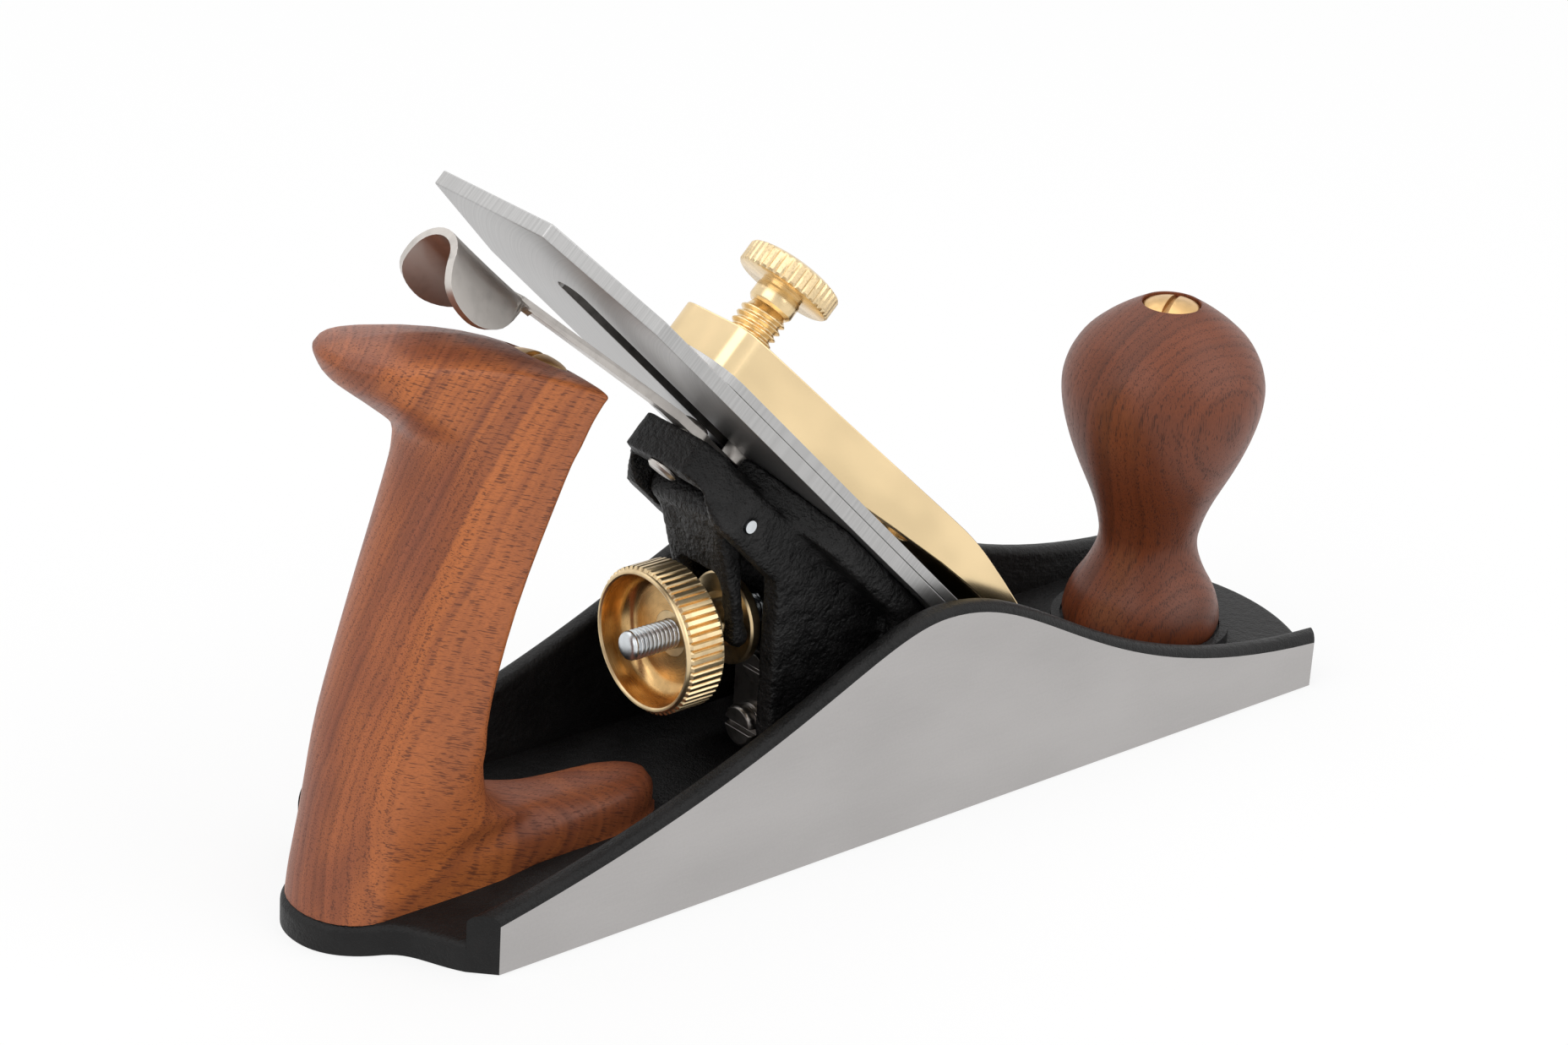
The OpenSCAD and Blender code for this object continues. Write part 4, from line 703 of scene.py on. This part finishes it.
def cheek(side, rear, front, inner, rear_corner, front_corner, size):
    """One cheek with slanted ends and a round top edge."""
    end = size.cheek_end / MM
    crest, top = 5.0, BODY_HIGH.z
    line = [(rear, end)]
    line += curve(line[0], (rear + 70, end + 14), (crest - 19, top), (crest, top), 30)
    line += curve((crest, top), (crest + 29, top), (front - 66, end + 5), (front, end), 30)
    bm = prism([(rear, 0)] + line + [(front, 0)], side * inner, side * BODY_HIGH.y, across=True)
    for vert in bm.verts:
        if abs(abs(vert.co.y) - inner) < 1e-3:
            if vert.co.x < rear + 1e-3:
                vert.co.x -= rear_corner
            elif vert.co.x > front - 1e-3:
                vert.co.x += front_corner
    top_edges = [e for e in bm.edges if min(v.co.z for v in e.verts) > end - 1e-3
                 and abs(e.verts[0].co.y - e.verts[1].co.y) < 1e-3]
    rounded(bm, top_edges, size.crown / MM)
    return bm


class MakeBody(bpy.types.Operator):
    """Model the body casting: sole, cheeks, seats of the frog, mouth and the ring under the knob"""
    bl_idname = "plane.make_body"
    bl_label = "Body casting"

    def execute(self, context):
        size = context.scene.plane_casting
        sole = size.sole / MM
        outline, rear, front, inner, rear_corner, front_corner = body_outline(size)
        foot = BED_FOOT.x / MM
        knob_low, knob_high = box_of("knob")
        to_knob = ((knob_low.x + knob_high.x) / 2, 0, 0)
        adds = [cheek(side, rear, front, inner, rear_corner, front_corner, size) for side in (-1, 1)]
        # Land, rear seat and rib of the frog: half width, height, and from the bed's foot the rear end
        # and the front end at the top and at the sole
        for half, top, back, front_top, front_low in (
                (21, 9, -21.4, -9.4, -5.4), (21, 14, -60.4, -22.4, -22.4),
                (6.5, 20.5, -60.4, -40, -40)):
            adds.append(prism([(foot + back, sole - 1), (foot + back, top), (foot + front_top, top),
                               (foot + front_low, sole - 1)], -half, half, across=True))
        # Ring round the knob's foot
        seat_radius, wall, rise, steps = 17.3, 2, 3, 72
        outer = seat_radius + wall
        ring = turned([(0, sole - 1), (outer, sole - 1), (outer, sole + rise), (0, sole + rise)], steps)
        bmesh.ops.translate(ring, verts=ring.verts, vec=to_knob)
        adds.append(ring)
        plate = prism(outline, 0, sole)
        lip = [e for e in plate.edges if min(v.co.z for v in e.verts) > sole - 1e-3
               and (max(v.co.x for v in e.verts) < rear + 1e-3
                    or min(v.co.x for v in e.verts) > front - 1e-3)]
        rounded(plate, lip, size.lip / MM)
        bm = worked(plate, adds, "UNION")
        # The mouth slants with the bed at its rear, a little behind it, and opens upwards ahead
        gap, front_low, front_top = 0.4, 5.7, 7.7
        mouth = prism([(foot - gap + 1, -1), (foot - gap - sole - 1, sole + 1),
                       (foot + front_top, sole + 1), (foot + front_low, sole / 2),
                       (foot + front_low, -1)], -inner, inner, across=True)
        seat = turned([(0, sole + 2), (seat_radius, sole + 2), (seat_radius, sole + 9), (0, sole + 9)],
                      steps)
        bmesh.ops.translate(seat, verts=seat.verts, vec=to_knob)
        bm = worked(bm, [mouth, seat], "DIFFERENCE")
        # The cheeks' outer faces and the underside are ground
        near, square = 0.02, 0.99
        for face in bm.faces:
            middle = face.calc_center_median()
            out = abs(abs(middle.y) - BODY_HIGH.y) < near and abs(face.normal.y) > square
            under = middle.z < near and face.normal.z < -square
            face.material_index = 1 if out or under else 0
        piece("body_casting", bm, UPRIGHT, "plane", "body_casting", ["japanning", "ground_iron"],
              "plane_body", size.edge / MM, layers=3)
        return {"FINISHED"}


class MakeFrog(bpy.types.Operator):
    """Model the frog casting and the yoke that it carries"""
    bl_idname = "plane.make_frog"
    bl_label = "Frog and yoke"

    def execute(self, context):
        size = context.scene.plane_casting
        # Half widths of the lug at its bend and at its end, and their places up the bed
        half, narrow, bend, lug_end = 16.0, 8.6, 109.5, 124
        end = 140
        slope = (half - narrow) / (lug_end - bend)
        cuts = []
        for side in (-1, 1):
            wedge = prism([(-bend, side * half), (-end, side * (half - slope * (end - bend))),
                           (-end, side * 40), (-bend, side * 40)], -40, 20)
            wedge.transform(UPRIGHT.inverted() @ ON_BED)
            cuts.append(wedge)
        frog = worked(merged_copy("frog"), cuts, "DIFFERENCE")
        for node, bm, body in (("frog", frog, "frog_unit"),
                               ("yoke", merged_copy("yoke"), "yoke_lever")):
            bm = sand_cast(bm, size.sand_grain / MM, lumps=0.1)
            piece(node + "_casting", bm, UPRIGHT, body, "frog_casting", ["rough_casting"], node,
                  sharp=70)
        return {"FINISHED"}


# Bores of the two handles, in millimetres: radii round the rod and the nut's barrel, and its length
ROD, BARREL, BARREL_LENGTH = 3.05, 4.5, 15

# Rings of the rear handle, in millimetres from the back of its foot: rear x and z, front x and z,
# depth of the front round, width as shares of the grip's overall and at the toe, and bow
HANDLE_RINGS = [
    (0, 0, 82.6, 0, 17, 1, 0.84, 0),
    (0.4, 3, 83.1, 3.2, 17, 1, 0.8, 0),
    (0.8, 5.5, 82.2, 5.8, 17, 1, 0.7, 0),
    (1.2, 7.5, 78.8, 7.6, 17, 1, 0.52, 0),
    (1.9, 11, 60, 8.9, 12, 1, 0.36, 0),
    (2.9, 16, 43.5, 12, 6.5, 1, 0.8, 0),
    (3.8, 21, 38.6, 17.5, 5, 1, 1, 0),
    (6.7, 36, 36.4, 33.5, 4, 1, 1, 0),
    (13.3, 57.5, 42.2, 56, 4, 1, 1, 0),
    (20.2, 78, 52.2, 79.5, 4, 1, 1, 0),
    (22.2, 86, 55.8, 85.6, 4, 1, 1, 0),
    (21.3, 91.6, 58.1, 89.4, 4, 1, 1, 0.2),
    (14.5, 97.8, 60, 92.2, 3.5, 1, 1, 0.8),
    (7.3, 103.8, 60.6, 93, 3, 1, 1, 1.7),
    (4.8, 108.2, 60.6, 93.4, 3, 1, 1, 2.2),
    (5.2, 109.7, 60.3, 93.8, 3, 0.98, 1, 2.4),
    (6.2, 110.5, 59.7, 94.4, 3, 0.92, 1, 2.6),
    (8.5, 111.1, 58, 95.7, 3, 0.7, 1, 2.8),
    (11, 111.4, 56.5, 96.6, 3, 0.42, 1, 3),
    (13, 111.5, 55, 97.4, 3, 0, 1, 3.1)]


def handle_ring(knot, size):
    """Points round one ring of the rear handle."""
    rear_x, rear_z, front_x, front_z, front_round, share, toe, bow = knot
    start, end = Vector((rear_x, 0, rear_z)), Vector((front_x, 0, front_z))
    length = (end - start).length
    along = (end - start) / length
    up = Vector((-along.z, 0, along.x))
    rear_round = size.rear_round / MM
    toe_start, toe_end = 34, 50
    flank = length - rear_round - front_round
    places = [rear_round * (1 - math.cos(math.pi / 2 * j / 8)) for j in range(8)]
    places += [rear_round + flank * j / 6 for j in range(7)]
    places += [length - front_round * (1 - math.sin(math.pi / 2 * j / 5)) for j in range(1, 6)]
    half = size.grip / MM / 2
    near, far = [], []
    for d in places:
        q = min(max((d - toe_start) / (toe_end - toe_start), 0), 1)
        width = share * half * (1 - (1 - toe) * q * q * (3 - 2 * q))
        for gap, depth in ((d, rear_round), (length - d, front_round)):
            if gap < depth:
                width *= math.sqrt(max(0, 1 - (1 - gap / depth) ** 2))
        e = 2 * d / length - 1
        centre = start + along * d + up * bow * (1 - e * e)
        near.append(centre + Vector((0, -width, 0)))
        far.append(centre + Vector((0, width, 0)))
    return near + far[-2:0:-1]


class MakeRearHandle(bpy.types.Operator):
    """Model the rear handle as a skin over rings that fan from its foot to its top"""
    bl_idname = "plane.make_rear_handle"
    bl_label = "Rear handle"

    def execute(self, context):
        size = context.scene.plane_handles
        low, _ = box_of("tote")
        rings = [handle_ring(knot, size) for knot in smooth_line(HANDLE_RINGS, 4)]
        bm = bmesh.new()
        loop = [bm.verts.new(point) for point in rings[0]]
        edges = [bm.edges.new(pair) for pair in zip(loop, loop[1:] + loop[:1])]
        bm.faces.new(reversed(loop))
        for ring in rings[1:]:
            grown = bmesh.ops.extrude_edge_only(bm, edges=edges)["geom"]
            fresh = {v for v in grown if isinstance(v, bmesh.types.BMVert)}
            edges = [e for e in grown if isinstance(e, bmesh.types.BMEdge) and set(e.verts) <= fresh]
            loop = [next(e.other_vert(v) for e in v.link_edges if e.other_vert(v) in fresh)
                    for v in loop]
            for vert, point in zip(loop, ring):
                vert.co = point
        bmesh.ops.remove_doubles(bm, verts=bm.verts, dist=1e-3)
        toe = [v for v in bm.verts if v.co.x > 28 and 0.5 < v.co.z < 24]
        saddle = [v for v in bm.verts if 24 < v.co.x < 70 and 1.5 < v.co.z < 28]
        relaxed(bm, toe, 4)
        relaxed(bm, saddle, 10)
        bmesh.ops.translate(bm, verts=bm.verts, vec=(low.x, 0, low.z))
        bmesh.ops.recalc_face_normals(bm, faces=bm.faces)
        nut_seat = size.nut_seat / MM
        barrel_end, boss, boss_top, nut, out = nut_seat - BARREL_LENGTH, 6.3, 5.3, 6.4, 140
        bolt = turned([(0, -6), (boss, -6), (boss, boss_top), (ROD, boss_top), (ROD, barrel_end),
                       (BARREL, barrel_end), (BARREL, nut_seat), (nut, nut_seat), (nut, out),
                       (0, out)], 48)
        bolt.transform(Matrix.Translation((size.bolt_foot / MM, 0, low.z))
                       @ Matrix.Rotation(size.bolt_lean, 4, "Y"))
        bm = worked(bm, [bolt], "DIFFERENCE")
        piece("rear_handle", bm, UPRIGHT, "plane", "handle_wood", ["figured_handle_wood"], "tote",
              0.35, sharp=38)
        return {"FINISHED"}


class MakeKnob(bpy.types.Operator):
    """Turn the front knob"""
    bl_idname = "plane.make_knob"
    bl_label = "Front knob"

    def execute(self, context):
        size = context.scene.plane_handles
        low, high = box_of("knob")
        tall = (high.z - low.z) / 0.99
        wide = size.knob / MM / 2
        neck, foot, nut, nut_depth = 10.6, 17.1, 6.25, 3.6
        # Radii in millimetres, and heights as shares of the whole
        knots = [(foot - 0.7, 0), (foot - 0.1, 0.033), (foot - 0.55, 0.075), (foot - 1.8, 0.12),
                 (neck + 2.9, 0.16), (neck + 1.4, 0.2), (neck + 0.35, 0.24), (neck, 0.275),
                 (neck + 0.3, 0.31), (neck + 1.3, 0.36), (neck + 2.75, 0.41), (wide - 6.5, 0.457),
                 (wide - 4.8, 0.505), (wide - 3.05, 0.56), (wide - 1.5, 0.62), (wide - 0.4, 0.68),
                 (wide, 0.735), (wide - 0.4, 0.78), (wide - 1.6, 0.826), (wide - 3.9, 0.875),
                 (wide - 7.2, 0.917), (wide - 10.3, 0.948), (wide - 12.9, 0.97), (6.5, 0.986)]
        nut_seat = tall - nut_depth
        profile = [(radius, share * tall) for radius, share in smooth_line(knots, 4)]
        profile += [(nut, 0.984 * tall), (nut, nut_seat), (BARREL, nut_seat),
                    (BARREL, nut_seat - BARREL_LENGTH), (ROD, nut_seat - BARREL_LENGTH), (ROD, 0)]
        bm = turned(profile, 128, closed=True)
        centre = (low + high) / 2
        space = Matrix.Translation((centre.x * MM, centre.y * MM, low.z * MM)) @ UPRIGHT
        piece("front_knob", bm, space, "plane", "knob_wood", ["figured_knob_wood"], "knob", sharp=50)
        return {"FINISHED"}


class MakeIrons(bpy.types.Operator):
    """Model the cutting iron, the cap iron and the screw between them"""
    bl_idname = "plane.make_irons"
    bl_label = "Irons"

    def execute(self, context):
        arris = context.scene.plane_steel.arris / MM
        # The walls of the slots, within these places in millimetres, are darker than the ground faces
        slot_half, slot_low, slot_high = 9, 25, 160
        for node in ("iron", "cap_iron"):
            bm = merged_copy(node)
            for face in bm.faces:
                middle = face.calc_center_median()
                uphill = (middle * MM - BED_FOOT).dot(BED_UP) / MM
                wall = abs(face.normal.dot(BED_NORMAL)) < 0.3
                in_slot = abs(middle.y) < slot_half and slot_low < uphill < slot_high
                face.material_index = 1 if wall and in_slot else 0
            piece(node + "_ground", bm, UPRIGHT, "iron_set", "bright_steel",
                  ["blade_steel", "slot_steel"], node, arris)
        softened("cap_iron_screw", "cap_iron_screw_slotted", "iron_set", "dark_steel", "screw_steel",
                 arris)
        return {"FINISHED"}


class MakeLeverCap(bpy.types.Operator):
    """Model the lever cap and the screw that it hooks over"""
    bl_idname = "plane.make_lever_cap"
    bl_label = "Lever cap"

    def execute(self, context):
        softened("lever_cap", "lever_cap_polished", "cap", "brass", "rubbed_brass", 0.45, layers=3)
        softened("lever_cap_screw", "cap_screw", "frog_unit", "dark_steel", "screw_steel", 0.2)
        return {"FINISHED"}


class MakeThumbScrew(bpy.types.Operator):
    """Turn the thumb screw, with its thread and the ridges of its head"""
    bl_idname = "plane.make_thumb_screw"
    bl_label = "Thumb screw"

    def execute(self, context):
        size = context.scene.plane_brass
        # Radii and heights above the bed, in millimetres
        head, rim_low, rim_high, dome = 10.2, 28.75, 33.75, 34.95
        neck, collar, thread_low = 24.75, 4.75, 5.1
        depth = 0.34
        flat = head - depth
        profile = [(0, rim_low), (flat - 0.5, rim_low), (flat, rim_low + 0.25), (head, rim_low + 0.7),
                   (head, rim_high - 0.7), (flat, rim_high - 0.25)]
        profile += curve((flat, rim_high - 0.25), (flat - 2, dome - 0.3), (3, dome), (0, dome), 9)
        bm = turned(profile, size.thumb_ridges * len(RIDGE))
        ridged(bm, head, size.thumb_ridges, depth)
        for face in bm.faces:
            reach = max(math.hypot(v.co.x, v.co.y) for v in face.verts)
            face.material_index = 1 if reach > flat + 0.02 else 0
        shank = turned([(0, neck - 0.4), (4.15, neck - 0.4), (4.6, neck + 0.1), (collar, neck + 0.35),
                        (collar, rim_low - 0.9), (4.6, rim_low - 0.65), (4.5, rim_low - 0.3),
                        (4.5, rim_low + 0.3), (0, rim_low + 0.3)], 64)
        thread = threaded(collar, size.thread_pitch / MM, thread_low, neck, 64, depth=0.52)
        scratch = bpy.data.meshes.new("scratch")
        for part in (shank, thread):
            part.to_mesh(scratch)
            part.free()
            bm.from_mesh(scratch)
        centre = JOINTS["thumb_turn"]["pos_m"]
        reach = (Vector(centre) - BED_FOOT).dot(BED_UP) / MM
        bmesh.ops.translate(bm, verts=bm.verts, vec=(-reach, 0, 0))
        piece("thumb_screw_turned", bm, ON_BED, "thumb", "brass", ["screw_brass", "knurled_brass"],
              "thumb_screw", sharp=34)
        return {"FINISHED"}


class MakeDepthWheel(bpy.types.Operator):
    """Turn the depth wheel, its grooved hub and its threaded stud"""
    bl_idname = "plane.make_depth_wheel"
    bl_label = "Depth adjuster"

    def execute(self, context):
        size = context.scene.plane_brass
        low, high = box_of("depth_wheel")
        radius = (high.z - low.z) / 2
        long = high.x - low.x
        depth = size.ridge_depth / MM
        # Radii of the ridges' feet, of the bowl, of the hub and of its bore, and the rim's width
        flat, inner, hub, bore, band = radius - depth, radius - 1.75, 7, 4.65, 9.3
        floor = band - 2.2
        profile = [(inner, 0.9), (inner + 0.12, 0.35), (inner + 0.45, 0.06), (inner + 0.75, 0),
                   (flat - 0.2, 0.14), (flat - 0.02, 0.45), (flat, 0.8), (radius, 1.15),
                   (radius, band - 0.85), (flat, band - 0.3), (flat - 0.4, band), (9.5, band + 0.6)]
        profile += curve((9.5, band + 0.6), (7.5, band + 0.9), (hub, band + 1.5), (hub, band + 3), 6)
        profile += [(hub, long - 0.2), (hub - 0.2, long), (bore, long), (bore, floor)]
        profile += curve((inner - 4.5, floor), (inner - 1.5, floor), (inner, floor - 1.5),
                         (inner, floor - 4.5), 8)
        bm = turned(profile, size.wheel_ridges * len(RIDGE), closed=True)
        ridged(bm, radius, size.wheel_ridges, depth)
        for face in bm.faces:
            middle = face.calc_center_median()
            reach = math.hypot(middle.x, middle.y)
            # Painted shade: the bowl inside the wheel takes a darker brass.
            if reach < inner + 0.1 and middle.z < band:
                face.material_index = 1
            # Grime and painted shade: the grooves between the ridges take a darker brass.
            elif flat - 0.02 < reach < radius - 0.3 * depth and 1.2 < middle.z < band - 0.9:
                face.material_index = 2
        piece("depth_wheel_turned", bm, along_x(low.x * MM, 0, WHEEL_AXIS), "adjuster_wheel", "brass",
              ["wheel_brass", "bowl_shade_brass", "groove_grime_shade_brass"], "depth_wheel", sharp=28)
        softened("depth_hub", "depth_hub_turned", "adjuster_hub", "brass", "wheel_brass")
        low, high = box_of("depth_stud")
        pitch = context.scene.plane_steel.stud_pitch / MM
        stud = threaded((high.z - low.z) / 2, pitch, 0, high.x - low.x, steps=64, hand=-1, tip=1.5)
        piece("stud_threaded", stud, along_x(low.x * MM, 0, WHEEL_AXIS), "frog_unit", "bright_steel",
              ["stud_steel"], "depth_stud", sharp=60)
        return {"FINISHED"}


class MakeLateralLever(bpy.types.Operator):
    """Model the lateral lever with its rivet and roller"""
    bl_idname = "plane.make_lateral_lever"
    bl_label = "Lateral lever"

    def execute(self, context):
        for node, name, body, edge in (("lateral_lever", "lateral_lever_bent", "lateral_arm", 0.3),
                                       ("lateral_rivet", "lever_rivet", "frog_unit", 0.15)):
            softened(node, name, body, "bright_steel", "lever_steel", edge, sharp=40)
        for node in ("lateral_roller", "roller_rivet"):
            dress(node, "lever_steel")
        return {"FINISHED"}


class MakeSmallSteel(bpy.types.Operator):
    """Model the frog's adjusting screw and finish the small steel pieces"""
    bl_idname = "plane.make_small_steel"
    bl_label = "Small steel pieces"

    def execute(self, context):
        for node, body, edge in (("frog_adjust_screw", "frog_adjuster", 0.2),
                                 ("frog_adjust_plate", "frog_unit", 0.2),
                                 ("frog_plate_screw", "frog_unit", 0.2), ("frog_screws", "plane", 0.2),
                                 ("frog_washers", "plane", 0.5)):
            softened(node, node + "_soft", body, "dark_steel", "screw_steel", edge, sharp=40)
        for node in ("yoke_pin", "tote_bolt", "knob_bolt"):
            dress(node, "stud_steel")
        return {"FINISHED"}


class MakeNuts(bpy.types.Operator):
    """Model the two slotted brass nuts of the handles"""
    bl_idname = "plane.make_nuts"
    bl_label = "Brass nuts"

    def execute(self, context):
        for node in ("tote_nut", "knob_nut"):
            softened(node, node + "_domed", "plane", "brass", "nut_brass", 0.2, sharp=40)
        return {"FINISHED"}


WHITE = (1, 1, 1, 1)


class MakeStage(bpy.types.Operator):
    """Set the floor, the soft light and the camera"""
    bl_idname = "plane.make_stage"
    bl_label = "Stage"

    def execute(self, context):
        settings = context.scene.plane_stage
        self.floor()
        self.world(context, settings)
        self.lamps()
        self.camera(context, settings)
        context.scene.view_settings.view_transform = "Standard"
        return {"FINISHED"}

    def floor(self):
        """A pale floor that glows for the camera and for mirrors, and still takes a shadow."""
        reach, drop = 6, 0.0003
        bm = bmesh.new()
        bmesh.ops.create_circle(bm, cap_ends=True, segments=96, radius=reach)
        bmesh.ops.translate(bm, verts=bm.verts, vec=(0, 0, -drop))
        finish = Finish("pale_floor", {"Base Color": (0.86, 0.86, 0.86, 1), "Roughness": 1.0,
                                       "Specular IOR Level": 0.0})
        glow = finish.add("Emission", None, {"Color": WHITE, "Strength": 1.0})
        seen, mirrored = finish.rays()
        share = 0.82 * seen + 0.9 * mirrored
        mix = finish.add("MixShader", None, {0: share, 1: finish.shown, 2: glow})
        finish.join(finish.output.inputs["Surface"], mix)
        floor = solid(bm, "floor")
        floor.data.materials.append(finish.material)

    def world(self, context, settings):
        """Soft light all round, with a pure white backdrop for the camera and for mirrors."""
        world = bpy.data.worlds.new("studio")
        world.use_nodes = True
        net = Net(world.node_tree)
        around, backdrop = (net.add("Background", None, {"Color": WHITE, "Strength": strength})
                            for strength in (settings.daylight, 1.0))
        seen, mirrored = net.rays()
        mix = net.add("MixShader", None, {0: seen + mirrored, 1: around, 2: backdrop})
        net.node("OutputWorld", None, {"Surface": mix})
        context.scene.world = world

    def lamps(self):
        """Three large soft lamps: place, width in metres and power in watts."""
        aim = Vector((0, 0, 0.05))
        for name, place, size, power in (("key", (0.55, -0.95, 0.95), 1.5, 9.0),
                                         ("side", (-1.1, -0.1, 0.9), 1.3, 7.0),
                                         ("top", (0.1, 0.5, 1.3), 1.5, 6.0)):
            lamp = bpy.data.lights.new(name, "AREA")
            lamp.shape = "SQUARE"
            lamp.size = size
            lamp.energy = power
            thing = linked(name, lamp)
            thing.location = place
            thing.rotation_euler = (aim - Vector(place)).to_track_quat("-Z", "Y").to_euler()

    def camera(self, context, settings):
        a, e, r = settings.azimuth, settings.elevation, settings.roll
        back = Vector((math.sin(a) * math.cos(e), -math.cos(a) * math.cos(e), math.sin(e)))
        right = Vector((math.cos(a), math.sin(a), 0))
        up = back.cross(right)
        rolled_right = math.cos(r) * right + math.sin(r) * up
        rolled_up = math.cos(r) * up - math.sin(r) * right
        lens = bpy.data.cameras.new("camera")
        lens.sensor_width = 36
        lens.lens = settings.lens
        lens.clip_start = 0.01
        camera = linked("camera", lens)
        turn = Matrix((rolled_right, rolled_up, back)).transposed().to_4x4()
        camera.matrix_world = Matrix.Translation(settings.place) @ turn
        context.scene.camera = camera


class PlanePanel(bpy.types.Panel):
    """Lists the plane's sizes and the operators that model its pieces"""
    bl_idname = "VIEW3D_PT_smoothing_plane"
    bl_label = "Smoothing plane"
    bl_space_type = "VIEW_3D"
    bl_region_type = "UI"
    bl_category = "Plane"

    def draw(self, context):
        for holder, group, operators in STEPS:
            box = self.layout.box()
            settings = getattr(context.scene, holder)
            for name in group.__annotations__:
                box.prop(settings, name)
            for operator in operators:
                box.operator(operator.bl_idname)


STEPS = (
    ("plane_casting", CastingSettings, (MakeBody, MakeFrog)),
    ("plane_handles", HandleSettings, (MakeRearHandle, MakeKnob)),
    ("plane_brass", BrassSettings, (MakeLeverCap, MakeThumbScrew, MakeDepthWheel, MakeNuts)),
    ("plane_steel", SteelSettings, (MakeIrons, MakeLateralLever, MakeSmallSteel)),
    ("plane_stage", StageSettings, (MakeStage,)),
)


def register():
    for holder, group, operators in STEPS:
        for kind in (group, *operators):
            bpy.utils.register_class(kind)
        setattr(bpy.types.Scene, holder, PointerProperty(type=group))
    bpy.utils.register_class(PlanePanel)


def unregister():
    bpy.utils.unregister_class(PlanePanel)
    for holder, group, operators in STEPS:
        delattr(bpy.types.Scene, holder)
        for kind in (group, *operators):
            bpy.utils.unregister_class(kind)


def main():
    register()
    for _, _, operators in STEPS:
        for operator in operators:
            family, action = operator.bl_idname.split(".")
            getattr(getattr(bpy.ops, family), action)()


if __name__ == "__main__":
    main()
